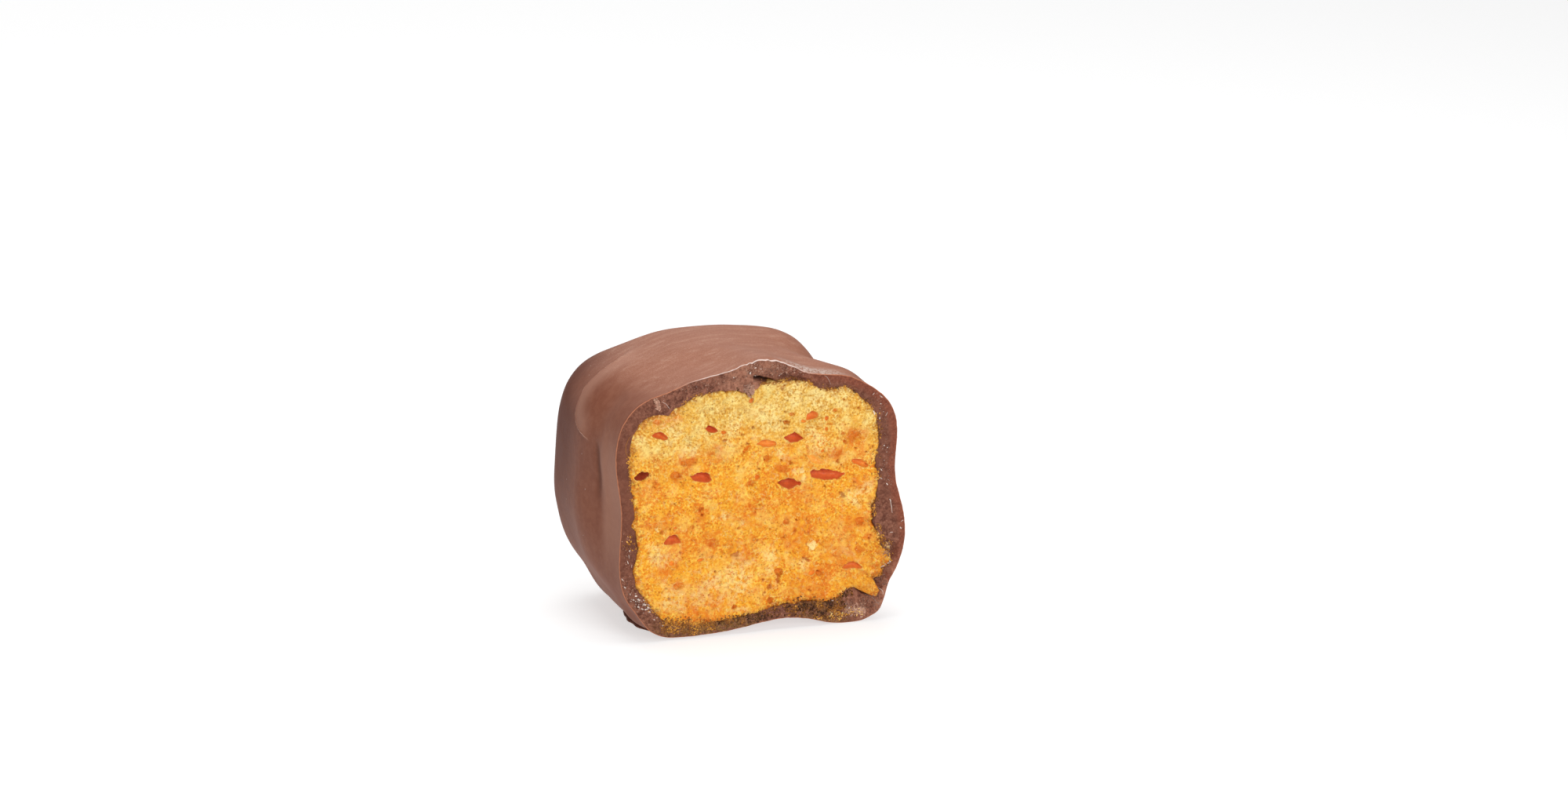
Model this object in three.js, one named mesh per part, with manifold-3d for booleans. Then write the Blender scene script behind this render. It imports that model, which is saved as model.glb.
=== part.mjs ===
// A piece of chocolate-covered honeycomb toffee, broken open across the front.
// A thick shell of milk chocolate goes round the sides, top, back and underside. The honeycomb core
// fills it and shows at the break, with the flattened bubbles that its broken face cuts through.
// Millimetres, +Z up, the break faces -Y. The origin is on the floor under the middle of the piece.

import * as THREE from "three";
import { mergeVertices } from "three/addons/utils/BufferGeometryUtils.js";
import Module from "manifold-3d";

// Overall sizes. A depth is always counted backwards from the break.
const BREAK_Y = -12.75;
const DEPTH = 25.5;
const FULL_SECTION_DEPTH = 9.5; // a soft ridge marks where the body reaches its full section
const RIDGE_ROUNDING = 0.3;
const BACK_EDGE = 6; // rounding of the edges round the back
const UNDERSIDE = 0.3; // the flat underside is this far over the floor, and the foot under it stands on it
const FLOOR_ROUNDING = 0.5; // how softly the sides meet the underside

// The shell behind the break
const INNER_WALL = 2.3;
const INNER_WALL_DEPTH = 5; // where the inner thickness is reached
const BASE_WALL = 1.9; // chocolate under the core
const FIT_GAP = 0.3; // between the core and the shell

// A section is a rounded square round a centre [x, z]. Its swells add to the radius at an angle,
// counted in degrees from +X up towards +Z: [angle, spread, rise]. A negative rise is a hollow.
const BREAK_SECTION = {
  centre: [1.5, 17.6],
  halfWidth: 22,
  halfHeight: 17.5,
  squareness: 3.2,
  swells: [
    [-176, 32, -3.0], // left side, drawn in
    [131, 7, -0.5],
    [119, 32, -1.3], // pressed-in left shoulder
    [104, 8, -0.35],
    [91, 19, 1.6], // crown
    [52, 27, -2.5], // right shoulder
    [53, 9, 0.6],
    [9, 23, -3.8], // hollow of the right side
    [-34, 32, -2.2],
    [-36.5, 4, -0.25],
    [-46, 3.5, 0.4],
    [-52, 14, 2.8], // right foot
    [-58, 6, 0.35],
    [-83, 21, -1.1], // arch under the middle
    [-133, 14, 1.4], // left foot
    [-140, 7, -0.7],
  ],
};
const BODY_SECTION = {
  centre: [-1, 18.2],
  halfWidth: 18.9,
  halfHeight: 17,
  squareness: 3.4,
  swells: [
    [180, 20, 0.2],
    [150, 16, 0.1],
    [125, 14, -0.7], // left shoulder
    [88, 22, 0.5],
    [60, 16, -0.9],
    [57, 15, 0.8],
    [35, 8, -0.5], // fallen right shoulder
    [32, 20, -0.7],
    [-90, 40, 1.8], // flat underside
    [-118, 14, 1.5],
    [-141, 10, -0.85],
    [-172, 12, 0.3],
  ],
};

// Thickness of the wall round the break, as [angle, thickness]
const WALL = [
  [-176, 1.7],
  [-173.3, 1.2],
  [-170.5, 2.0],
  [-162, 2.5],
  [-152, 1.8],
  [-141, 2.1],
  [-131, 2.0],
  [-94, 1.5],
  [-78, 1.7],
  [-64, 3.1],
  [-49, 5.3], // thick lower right corner
  [-36, 3.9],
  [-25, 3.4],
  [-17, 4.8], // thick right side
  [-10, 4.4],
  [-7, 3.4],
  [2, 2.5],
  [19, 2.8],
  [36, 2.4],
  [51, 1.4],
  [58, 2.1],
  [68, 1.5],
  [75, 1.9],
  [91, 3.5], // thick crown
  [98, 4.2],
  [104, 2.7],
  [113, 2.1],
  [125, 2.2],
  [132.5, 2.5],
  [137, 3.2],
  [143, 1.9],
];
// At the lower right a crag of honeycomb stands out over the wall by [angle, reach]. Its edge is jagged.
const CRAG = [
  [-47, 0],
  [-44, 2.9],
  [-41.5, 3.2],
  [-39.3, 1.5],
  [-36, 2.6],
  [-34, 2.0],
  [-30, 2.6],
  [-27.5, 1.5],
  [-26, 0],
];
const CRAG_PROUD = 0.3; // how far it stands forward of the break
const CRAG_THICK = 0.45;
const SET_BACK = { angle: -36.5, spread: 13, depth: 1.0 }; // of the wall behind the crag

// Soft lumps and hollows of the coating: [x, y, z, spread, rise]
const COATING_LUMPS = [
  [17.5, 2, 21, 6.5, -1.1],
  [16, 3, 8, 5, 0.5],
  [-3, 13, 23, 7.5, -1.3],
  [8, 12.5, 11, 5, 0.7],
  [-7, 3, 35, 5.5, 0.4],
  [5, -3, 35.5, 4, -0.3],
  [5.2, 7.8, 31.9, 4.9, 0.55],
  [10.3, 8.1, 32.9, 3.1, 0.2],
  [12.5, -0.8, 33.3, 4.5, -1.4], // dip behind the right shoulder of the break
  [14.4, -8.8, 31.8, 2.5, 0.4],
  [-14.5, -8, 3, 3.5, 0.5],
  [-20.5, 4, 9, 5, -0.4],
  [-13, 12, 9, 5, -0.6],
];
const LUMP_CENTRE = [-1, -1, 17.7];

// The thin foot that pooled under the piece while its coating set
const FOOT = { centre: [-0.4, -0.8], halfWidth: 13.6, halfDepth: 7.8, squareness: 3, thickness: 0.8 };

// The roughness of the break, and a small chip out of its top edge
const BREAK_ROUGHNESS = 0.32;
const WALL_ROUGHNESS = 0.13;
const SMALLEST_DETAIL = 0.012;
const CHIP = { angle: 73, spread: 8, size: 0.35, depth: 1.2 };

// A flake of chocolate has come half off the crown, and the crevice under its left end is open.
const FLAKE = { angle: 81, spread: 14, edge: 0.6, forward: 0.6 };
const CREVICE = { angle: 91.5, spread: 4, depth: 0.8 };
// Angular chips that stand out of the break: [x, z, width, height, forward, tilt in degrees]
const WALL_CHIPS = [
  [-12.8, 30.9, 0.9, 2.0, 0.6, -14],
  [18.5, 10.3, 1.3, 2.2, 0.55, 12],
  [18.4, 14.2, 1.2, 2.2, 0.45, 8],
  [14.0, 2.0, 2.6, 1.4, 0.5, 20],
];
const CORE_CHIPS = [
  [7.8, 11.0, 1.6, 1.8, 0.35, 20],
  [-12.8, 14.8, 1.1, 0.9, 0.3, 0],
  [-1.0, 30.9, 1.7, 1.3, 0.35, -40],
  [12.6, 9.6, 4.4, 1.3, 0.4, -40],
];

// The bubbles that the broken face cuts through: [x, z, width, height, depth, tilt in degrees]
const BUBBLES = [
  [-14.8, 21.7, 1.9, 1.0, 1.6, 14],
  [-12.3, 26.8, 2.2, 1.1, 1.0, -14],
  [-5.7, 27.2, 2.1, 0.9, 1.3, -12],
  [-8.3, 23.2, 2.0, 1.3, 0.6, 8],
  [-10.2, 21.5, 2.0, 1.3, 0.7, 0],
  [-6.9, 21.0, 3.1, 1.4, 1.3, -16],
  [-0.9, 24.1, 1.6, 1.1, 0.6, 20],
  [2.0, 24.6, 2.8, 1.1, 0.8, -8],
  [5.5, 25.1, 2.6, 1.2, 1.2, -6],
  [7.9, 27.8, 1.6, 1.1, 0.8, 0],
  [13.5, 24.7, 2.1, 1.7, 0.6, -10],
  [14.3, 21.1, 2.6, 1.1, 0.9, -22],
  [9.7, 20.0, 4.9, 1.2, 1.7, -9],
  [4.8, 19.2, 3.2, 1.2, 1.6, -6],
  [-0.3, 19.6, 1.9, 1.1, 0.7, 10],
  [8.1, 22.1, 2.2, 1.1, 0.7, -30],
  [-10.8, 13.0, 2.4, 1.2, 1.2, 8],
  [-5.4, 12.2, 1.8, 1.3, 0.6, 20],
  [-10.9, 10.0, 1.0, 1.0, 0.7, 0],
  [13.4, 7.4, 2.0, 1.1, 1.0, 0],
  [8.0, 7.3, 1.6, 1.4, 0.7, 20],
  [3.5, 7.8, 1.3, 1.1, 0.7, -20],
  [4.2, 14.4, 1.3, 1.1, 0.6, 0],
  [14.7, 13.8, 1.7, 1.3, 0.7, 0],
];

// How finely the surfaces are divided
const RIM_POINTS = 136;
const BODY_POINTS = 90;
const CORE_POINTS = 48;
const BODY_DEPTHS = [1.2, 2.6, 4.2, 5.8, 7.2, 8.4, 9.3, 10.4, 12, 14, 16, 18, DEPTH - BACK_EDGE];
const CORE_DEPTHS = [1.7, 4, 7, 9.5, 13];
const EDGE_STEPS = 6;
const HIDDEN_EDGE_STEPS = 3;
const BACK_SHARES = [0.8, 0.5, 0.2];
const FACE_SHARES = [0.07, 0.19, 0.31, 0.43, 0.54, 0.64, 0.73, 0.82, 0.89, 0.95];
const WALL_SHARES = [0.84, 0.62, 0.4, 0.18];
const MOST_BUBBLE_SEGMENTS = 11;

const radians = THREE.MathUtils.degToRad;
const { clamp, lerp, smoothstep, euclideanModulo } = THREE.MathUtils;

// A soft rise at an angle, both in degrees round the piece
function swell(angle, at, spread, power = 2) {
  const turn = euclideanModulo(angle - at + 180, 360) - 180;
  return Math.exp(-(Math.abs(turn / spread) ** power));
}

function sectionRadius({ halfWidth, halfHeight, squareness, swells }, angle) {
  const across = Math.abs(Math.cos(radians(angle)) / halfWidth) ** squareness;
  const up = Math.abs(Math.sin(radians(angle)) / halfHeight) ** squareness;
  const block = (across + up) ** (-1 / squareness);
  return swells.reduce((sum, [at, spread, rise]) => sum + rise * swell(angle, at, spread), block);
}

// The value at an angle on straight lines from knot to knot, once round and closed
function onKnots(knots, angle) {
  const from = (knot) => euclideanModulo(angle - knot[0], 360);
  const start = knots.reduce((best, knot) => (from(knot) < from(best) ? knot : best));
  const end = knots[(knots.indexOf(start) + 1) % knots.length];
  return lerp(start[1], end[1], from(start) / euclideanModulo(end[0] - start[0], 360));
}

// The smaller of two values, rounded where they cross
function softMin(a, b, rounding) {
  const share = clamp(0.5 + (0.5 * (b - a)) / rounding, 0, 1);
  return lerp(b, a, share) - rounding * share * (1 - share);
}

const softMax = (a, b, rounding) => -softMin(-a, -b, rounding);

// A point [x, z] of the coating's section at a depth: inset moves it inwards, share scales it
function sectionPoint(angle, depth, inset, share = 1) {
  const body = softMin((depth / FULL_SECTION_DEPTH) ** 1.5, 1, RIDGE_ROUNDING);
  const [atBreak, atBody] = [BREAK_SECTION, BODY_SECTION].map((section) => {
    const radius = (sectionRadius(section, angle) - inset) * share;
    const [cx, cz] = section.centre;
    return [cx + radius * Math.cos(radians(angle)), cz + radius * Math.sin(radians(angle))];
  });
  return [0, 1].map((axis) => lerp(atBreak[axis], atBody[axis], body));
}

// How far the coating's lumps push a point out from the middle of the piece
function coatingLump(point) {
  return COATING_LUMPS.reduce((sum, [x, y, z, spread, rise]) => {
    const gap = point.distanceTo(new THREE.Vector3(x, y, z));
    return sum + rise * Math.exp(-((gap / spread) ** 2));
  }, 0);
}

// The low relief of broken toffee and chocolate
function breakRelief(x, z) {
  const wave = Math.sin(0.31 * x + 0.6) * Math.sin(0.27 * z + 1.1);
  const crumb = Math.sin(1.15 * x + 0.7 * z) * Math.sin(0.9 * z - 0.8 * x + 2);
  return BREAK_ROUGHNESS * (wave + 0.45 * crumb);
}

// A point of the outside of the coating
function coatingPoint(angle, depth, inset = 0, share = 1) {
  const chipped = CHIP.size * swell(angle, CHIP.angle, CHIP.spread) * (1 - smoothstep(depth, 0, CHIP.depth));
  const [x, z] = sectionPoint(angle, depth, inset + chipped, share);
  const point = new THREE.Vector3(x, BREAK_Y + depth, z);
  const outwards = point.clone().sub(new THREE.Vector3(...LUMP_CENTRE)).normalize();
  point.addScaledVector(outwards, coatingLump(point) * smoothstep(depth, 0.5, 5));
  point.z = softMax(point.z, UNDERSIDE * smoothstep(depth, 0, 4), FLOOR_ROUNDING);
  return point;
}

// A point of the core's outside, or of the hollow that holds it where gap is the room between them
function corePoint(angle, depth, { gap = 0, inset = 0, share = 1, reach = 0 } = {}) {
  const wall = lerp(onKnots(WALL, angle), INNER_WALL, smoothstep(depth, 0, INNER_WALL_DEPTH));
  const [x, z] = sectionPoint(angle, depth, inset + wall - gap - reach, share);
  return new THREE.Vector3(x, BREAK_Y + depth, softMax(z, BASE_WALL - gap, FLOOR_ROUNDING));
}

// A closed ring of points round the piece
function ring(count, pointAt) {
  return Array.from({ length: count }, (_, i) => pointAt((360 * i) / count - 180));
}

// A closed surface through rings of points, from a single point at one end to a single point at the other.
// Neighbouring rings may differ in their number of points.
function skin(rings) {
  const triangles = [];
  let first = 0;
  for (let k = 0; k + 1 < rings.length; k++) {
    const [near, far] = [rings[k].length, rings[k + 1].length];
    const nearAt = (i) => first + (i % near);
    const farAt = (i) => first + near + (i % far);
    let [i, j] = [0, 0];
    while (i < near || j < far) {
      if (j === far || (i < near && (i + 0.5) / near <= (j + 0.5) / far)) {
        if (near > 1) triangles.push(nearAt(i), farAt(j), nearAt(i + 1));
        i++;
      } else {
        if (far > 1) triangles.push(nearAt(i), farAt(j), farAt(j + 1));
        j++;
      }
    }
    first += near;
  }
  return new THREE.BufferGeometry().setFromPoints(rings.flat()).setIndex(triangles);
}

const someOf = (count, share) => Math.max(6, Math.round(count * share));

// The rounded edge and the flat of a back, as [depth, inset, share of the section]
function backStations(depth, steps) {
  const edge = Array.from({ length: steps }, (_, i) => ((Math.PI / 2) * (i + 1)) / steps);
  return [
    ...edge.map((turn) => [depth - BACK_EDGE * (1 - Math.sin(turn)), BACK_EDGE * (1 - Math.cos(turn)), 1]),
    ...BACK_SHARES.map((share) => [depth, BACK_EDGE, share]),
  ];
}

// The rings of the core's outside well behind the break, or of the hollow round it
function coreRings(gap) {
  const depth = DEPTH - INNER_WALL;
  const edge = depth - BACK_EDGE;
  const sides = [...CORE_DEPTHS, edge].map((d, i) =>
    ring(i === 0 ? RIM_POINTS : CORE_POINTS, (angle) => corePoint(angle, d, { gap })),
  );
  const back = backStations(depth, HIDDEN_EDGE_STEPS).map(([d, inset, share]) =>
    ring(someOf(CORE_POINTS, share), (angle) => {
      const point = corePoint(angle, d, { gap, inset, share });
      point.y += gap * smoothstep(d, edge, depth);
      return point;
    }),
  );
  const tip = corePoint(0, depth, { gap, inset: BACK_EDGE, share: 0 });
  tip.y += gap;
  return [...sides, ...back, [tip]];
}

// A point of the wall's broken face, at a share of the way in from its outer edge
function wallPoint(angle, share) {
  const inner = corePoint(angle, 0, { gap: FIT_GAP });
  const point = coatingPoint(angle, 0).lerp(inner, share);
  const rough = Math.sin(90 * share + 2.3 * angle) + Math.sin(41 * share + 0.9 * angle);
  const past = (edge) => smoothstep(share, edge - 0.2, edge + 0.12);
  point.y += WALL_ROUGHNESS * rough * Math.min(1, 4 * share * (1 - share));
  point.y += SET_BACK.depth * swell(angle, SET_BACK.angle, SET_BACK.spread, 8) * past(0.3);
  point.y -= FLAKE.forward * swell(angle, FLAKE.angle, FLAKE.spread, 8) * (1 - past(FLAKE.edge));
  point.y += CREVICE.depth * swell(angle, CREVICE.angle, CREVICE.spread, 4) * past(FLAKE.edge) * (1 - past(1));
  return point;
}

// The chocolate shell: the hollow, the wall at the break, the outside, and the foot under it
function shellGeometry() {
  const wall = [1, ...WALL_SHARES, 0].map((share) => ring(RIM_POINTS, (angle) => wallPoint(angle, share)));
  const outside = BODY_DEPTHS.map((d) => ring(BODY_POINTS, (angle) => coatingPoint(angle, d)));
  const back = backStations(DEPTH, EDGE_STEPS).map(([d, inset, share]) =>
    ring(someOf(BODY_POINTS, share), (angle) => coatingPoint(angle, d, inset, share)),
  );
  const tip = [coatingPoint(0, DEPTH, BACK_EDGE, 0)];
  return skin([...coreRings(FIT_GAP).reverse(), ...wall, ...outside, ...back, tip]);
}

// A low pad with a rounded edge, its underside on the floor
function footGeometry() {
  const { centre, halfWidth, halfDepth, squareness, thickness } = FOOT;
  const pad = (z, outset) =>
    ring(48, (angle) => {
      const [x, y] = [Math.cos(radians(angle)), Math.sin(radians(angle))];
      const radius = (Math.abs(x / halfWidth) ** squareness + Math.abs(y / halfDepth) ** squareness) ** (-1 / squareness);
      return new THREE.Vector3(centre[0] + x * (radius + outset), centre[1] + y * (radius + outset), z);
    });
  const middle = (z) => [new THREE.Vector3(centre[0], centre[1], z)];
  return skin([
    middle(thickness),
    pad(thickness, -0.9),
    pad(0.8 * thickness, -0.1),
    pad(0.4 * thickness, 0.15),
    pad(0, -0.15),
    middle(0),
  ]);
}

// The core before its bubbles are cut: the broken face, the crag round its edge, and the hidden outside
function coreGeometry() {
  const edge = (depth, overhang) =>
    ring(RIM_POINTS, (angle) => {
      const reach = overhang * onKnots(CRAG, angle);
      const point = corePoint(angle, 0, { reach });
      const core = corePoint(angle, 0);
      const relief = breakRelief(core.x, core.z) * (1 - smoothstep(depth, 0, 1.7));
      point.y += relief + depth - CRAG_PROUD * smoothstep(onKnots(CRAG, angle), 0, 1);
      return point;
    });
  const [cx, cz] = BREAK_SECTION.centre;
  const face = [0, ...FACE_SHARES].map((share) =>
    ring(share === 0 ? 1 : someOf(RIM_POINTS, share), (angle) => {
      const rim = corePoint(angle, 0, { reach: onKnots(CRAG, angle) * share ** 4 });
      const [x, z] = [lerp(cx, rim.x, share), lerp(cz, rim.z, share)];
      const proud = CRAG_PROUD * smoothstep(onKnots(CRAG, angle), 0, 1) * smoothstep(share, 0.6, 1);
      return new THREE.Vector3(x, BREAK_Y + breakRelief(x, z) - proud, z);
    }),
  );
  return skin([...face, edge(0, 1), edge(CRAG_THICK, 0.9), edge(1.5 * CRAG_THICK, 0), ...coreRings(0)]);
}

// A small shape of radius 1, sized, tilted and set in the break
function setInBreak(geometry, [x, z, width, height, depth, tilt]) {
  geometry.scale(width / 2, depth, height / 2).rotateY(-radians(tilt));
  return toSolid(geometry.translate(x, BREAK_Y + breakRelief(x, z), z));
}

const chip = (shape) => setInBreak(new THREE.IcosahedronGeometry(1, 0), shape);

function bubble(shape) {
  const segments = clamp(Math.round(4 + 3 * shape[2]), 7, MOST_BUBBLE_SEGMENTS);
  return setInBreak(new THREE.SphereGeometry(1, segments, Math.ceil(segments / 2) + 1), shape);
}

const wasm = await Module();
wasm.setup();

function toSolid(geometry) {
  const bare = geometry.clone();
  bare.deleteAttribute("normal");
  bare.deleteAttribute("uv");
  const merged = mergeVertices(bare, 1e-4);
  return new wasm.Manifold(
    new wasm.Mesh({
      numProp: 3,
      vertProperties: new Float32Array(merged.attributes.position.array),
      triVerts: new Uint32Array(merged.index.array),
    }),
  );
}

function toGeometry(solid) {
  const { vertProperties, triVerts } = solid.simplify(SMALLEST_DETAIL).getMesh();
  return new THREE.BufferGeometry()
    .setAttribute("position", new THREE.BufferAttribute(vertProperties, 3))
    .setIndex(new THREE.BufferAttribute(triVerts, 1));
}

function chocolateShell() {
  let shell = toSolid(shellGeometry()).add(toSolid(footGeometry()));
  for (const shape of WALL_CHIPS) shell = shell.add(chip(shape));
  return toGeometry(shell);
}

function honeycombCore() {
  let core = toSolid(coreGeometry());
  for (const shape of CORE_CHIPS) core = core.add(chip(shape));
  for (const shape of BUBBLES) core = core.subtract(bubble(shape));
  return toGeometry(core);
}

function namedMesh(name, geometry, material) {
  geometry.computeVertexNormals();
  const mesh = new THREE.Mesh(geometry, material);
  mesh.name = name;
  return mesh;
}

const milkChocolate = new THREE.MeshStandardMaterial({ color: 0x7a4d3d, roughness: 0.42, metalness: 0 });
const honeycombToffee = new THREE.MeshStandardMaterial({ color: 0xeca544, roughness: 0.7, metalness: 0 });

const piece = new THREE.Group();
piece.add(
  namedMesh("chocolate_shell", chocolateShell(), milkChocolate),
  namedMesh("honeycomb_core", honeycombCore(), honeycombToffee),
);

export default piece;
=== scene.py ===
# A piece of chocolate-covered honeycomb toffee, broken open across the front.
import itertools
import math

import bpy
import numpy as np
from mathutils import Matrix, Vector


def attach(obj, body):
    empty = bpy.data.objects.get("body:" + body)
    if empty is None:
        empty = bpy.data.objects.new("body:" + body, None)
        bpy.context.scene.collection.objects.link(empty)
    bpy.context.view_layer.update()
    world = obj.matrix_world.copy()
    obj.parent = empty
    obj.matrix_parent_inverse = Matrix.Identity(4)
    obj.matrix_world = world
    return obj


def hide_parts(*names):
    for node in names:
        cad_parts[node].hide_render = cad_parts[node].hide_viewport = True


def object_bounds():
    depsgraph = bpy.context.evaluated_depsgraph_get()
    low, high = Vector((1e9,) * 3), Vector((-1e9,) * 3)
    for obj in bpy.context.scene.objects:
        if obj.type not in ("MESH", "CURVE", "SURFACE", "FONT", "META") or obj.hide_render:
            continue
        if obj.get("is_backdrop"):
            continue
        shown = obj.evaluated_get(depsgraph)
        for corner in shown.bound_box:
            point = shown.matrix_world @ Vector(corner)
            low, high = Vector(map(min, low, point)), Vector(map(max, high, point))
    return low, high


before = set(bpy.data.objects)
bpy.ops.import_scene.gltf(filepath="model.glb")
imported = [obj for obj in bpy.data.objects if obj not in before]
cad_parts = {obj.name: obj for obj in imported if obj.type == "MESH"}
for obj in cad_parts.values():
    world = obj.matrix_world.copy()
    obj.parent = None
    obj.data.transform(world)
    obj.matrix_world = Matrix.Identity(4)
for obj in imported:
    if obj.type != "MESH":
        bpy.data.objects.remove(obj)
cad_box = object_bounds()

# Honeycomb core
# Golden toffee, foamed with soda and snapped across. Its broken face is a dry sponge of fine pores,
# with flattened bubbles whose insides are smooth orange glass. Modelled in millimetres and made in metres.
BREAK_Y = -12.75
DEPTH = 25.5  # counted backwards from the break, as every depth is
FULL_SECTION_DEPTH = 9.5
RIDGE_ROUNDING = 0.3
BACK_EDGE = 6
FLOOR_ROUNDING = 0.5
INNER_WALL = 2.3
INNER_WALL_DEPTH = 5
BASE_WALL = 1.9
MM = 0.001

# A section is a rounded square: centre, half sizes, squareness, then swells as (angle, spread, rise)
BREAK_SECTION = (1.5, 17.6), (22, 17.5), 3.2, (
    (-176, 32, -3.0), (131, 7, -0.5), (119, 32, -1.3), (104, 8, -0.35), (91, 19, 1.6),
    (52, 27, -2.5), (53, 9, 0.6), (9, 23, -3.8), (-34, 32, -2.2), (-36.5, 4, -0.25), (-46, 3.5, 0.4),
    (-52, 14, 2.8), (-58, 6, 0.35), (-83, 21, -1.1), (-133, 14, 1.4), (-140, 7, -0.7),
)
BODY_SECTION = (-1, 18.2), (18.9, 17), 3.4, (
    (180, 20, 0.2), (150, 16, 0.1), (125, 14, -0.7), (88, 22, 0.5), (60, 16, -0.9), (57, 15, 0.8),
    (35, 8, -0.5), (32, 20, -0.7), (-90, 40, 1.8), (-118, 14, 1.5), (-141, 10, -0.85), (-172, 12, 0.3),
)
# Thickness of the wall round the break, at angles
WALL_KNOTS = (
    (-176, 1.7), (-173.3, 1.2), (-170.5, 2.0), (-162, 2.5), (-152, 1.8), (-141, 2.1), (-131, 2.0),
    (-94, 1.5), (-78, 1.7), (-64, 3.1), (-49, 5.3), (-36, 3.9), (-25, 3.4), (-17, 4.8), (-10, 4.4),
    (-7, 3.4), (2, 2.5), (19, 2.8), (36, 2.4), (51, 1.4), (58, 2.1), (68, 1.5), (75, 1.9), (91, 3.5),
    (98, 4.2), (104, 2.7), (113, 2.1), (125, 2.2), (132.5, 2.5), (137, 3.2), (143, 1.9),
)
# How far the crag of honeycomb at the lower right stands out over the wall, at angles
CRAG_KNOTS = (
    (-47, 0), (-44, 2.9), (-41.5, 3.2), (-39.3, 1.5), (-36, 2.6), (-34, 2.0), (-30, 2.6),
    (-27.5, 1.5), (-26, 0),
)
CRAG_PROUD = 0.3
CRAG_THICK = 0.45


def swell(angle, at, spread, power=2):
    """A soft rise round an angle, all in degrees."""
    turn = (angle - at + 180) % 360 - 180
    return np.exp(-np.abs(turn / spread) ** power)


def ease(low, high, value):
    """0 below low, 1 above high, and a smooth step between."""
    share = np.clip((value - low) / (high - low), 0, 1)
    return share * share * (3 - 2 * share)


def soft_min(a, b, rounding):
    """The smaller of two values, with a rounded corner where they meet."""
    share = np.clip(0.5 + 0.5 * (b - a) / rounding, 0, 1)
    return b + (a - b) * share - rounding * share * (1 - share)


def soft_max(a, b, rounding):
    """The larger of two values, likewise."""
    return -soft_min(-a, -b, rounding)


def on_knots(knots, angle):
    """A value at an angle, from knots that are each an angle and its value."""
    return np.interp(angle, *zip(*sorted(knots)), period=360)


def section_point(angle, depth, inset, share=1):
    """x and z of the coating's section at a depth. inset moves it inwards, and share scales it."""
    body = soft_min((np.maximum(depth, 0) / FULL_SECTION_DEPTH) ** 1.5, 1, RIDGE_ROUNDING)
    cos, sin = np.cos(np.radians(angle)), np.sin(np.radians(angle))
    ends = []
    for centre, (half_width, half_height), squareness, swells in (BREAK_SECTION, BODY_SECTION):
        radius = (np.abs(cos / half_width) ** squareness + np.abs(sin / half_height) ** squareness)
        radius = radius ** (-1 / squareness) + sum(r * swell(angle, a, s) for a, s, r in swells)
        radius = (radius - inset) * share
        ends.append((centre[0] + radius * cos, centre[1] + radius * sin))
    (x0, z0), (x1, z1) = ends
    return x0 + (x1 - x0) * body, z0 + (z1 - z0) * body


def grain(places, size, seed=0):
    """Smooth noise from -1 to 1, its lumps about size apart."""
    cell = np.floor(places / size)
    part = places / size - cell
    part = part * part * (3 - 2 * part)
    cell = cell.astype(np.int64)
    total = np.zeros(len(places))
    for corner in itertools.product((0, 1), repeat=3):
        weight = np.prod(np.where(corner, part, 1 - part), axis=1)
        total += weight * scattered(cell + corner, seed)
    return total * 2 - 1


def scattered(cell, seed):
    """A fixed random number from 0 to 1 for each cell of a lattice."""
    mixed = (cell * (73856093, 19349663, 83492791)).sum(1) + seed * 2654435761
    mixed = (mixed ^ (mixed >> 15)) * 2246822519 & 0xFFFFFFFF
    mixed = (mixed ^ (mixed >> 13)) * 3266489917 & 0xFFFFFFFF
    return (mixed ^ (mixed >> 16)) / 0xFFFFFFFF


def pores(places, size, seed=0):
    """Distance to the nearest of some points strewn about size apart, over size, and its number."""
    cell = np.floor(places / size).astype(np.int64)
    nearest, number = np.full(len(places), 9.0), np.zeros(len(places))
    for step in itertools.product((-1, 0, 1), repeat=3):
        home = cell + step
        offset = np.stack([scattered(home, seed + k) for k in range(3)], 1)
        gap = np.linalg.norm(home + offset - places / size, axis=1)
        closer = gap < nearest
        nearest = np.where(closer, gap, nearest)
        number = np.where(closer, scattered(home, seed + 3), number)
    return nearest, number


def teeth(angle):
    """The ragged line where toffee meets chocolate, in and out, in millimetres."""
    ring = np.stack([np.cos(np.radians(angle)), np.sin(np.radians(angle)), 0 * angle], 1) * 16
    return 0.2 * grain(ring, 1.1, 5) + 0.1 * grain(ring, 0.42, 6)


def core_point(angle, depth, overlap=0, inset=0, share=1, reach=0):
    """A point of the core's outside. overlap is how far it runs into the wall, reach how far over it."""
    wall = on_knots(WALL_KNOTS, angle)
    wall = wall + (INNER_WALL - wall) * ease(0, INNER_WALL_DEPTH, depth)
    ragged = teeth(angle) * (1 - ease(0, 2, depth))
    x, z = section_point(angle, depth, inset + wall - overlap - reach - ragged, share)
    z = soft_max(z, BASE_WALL - overlap, FLOOR_ROUNDING)
    return np.stack([x, BREAK_Y + depth + 0 * x, z], 1)


def ring_of(count):
    """Angles once round the piece."""
    return 360 * np.arange(count) / count - 180


def placed(name, data):
    """A new object in the scene."""
    piece = bpy.data.objects.new(name, data)
    bpy.context.scene.collection.objects.link(piece)
    return piece


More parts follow.
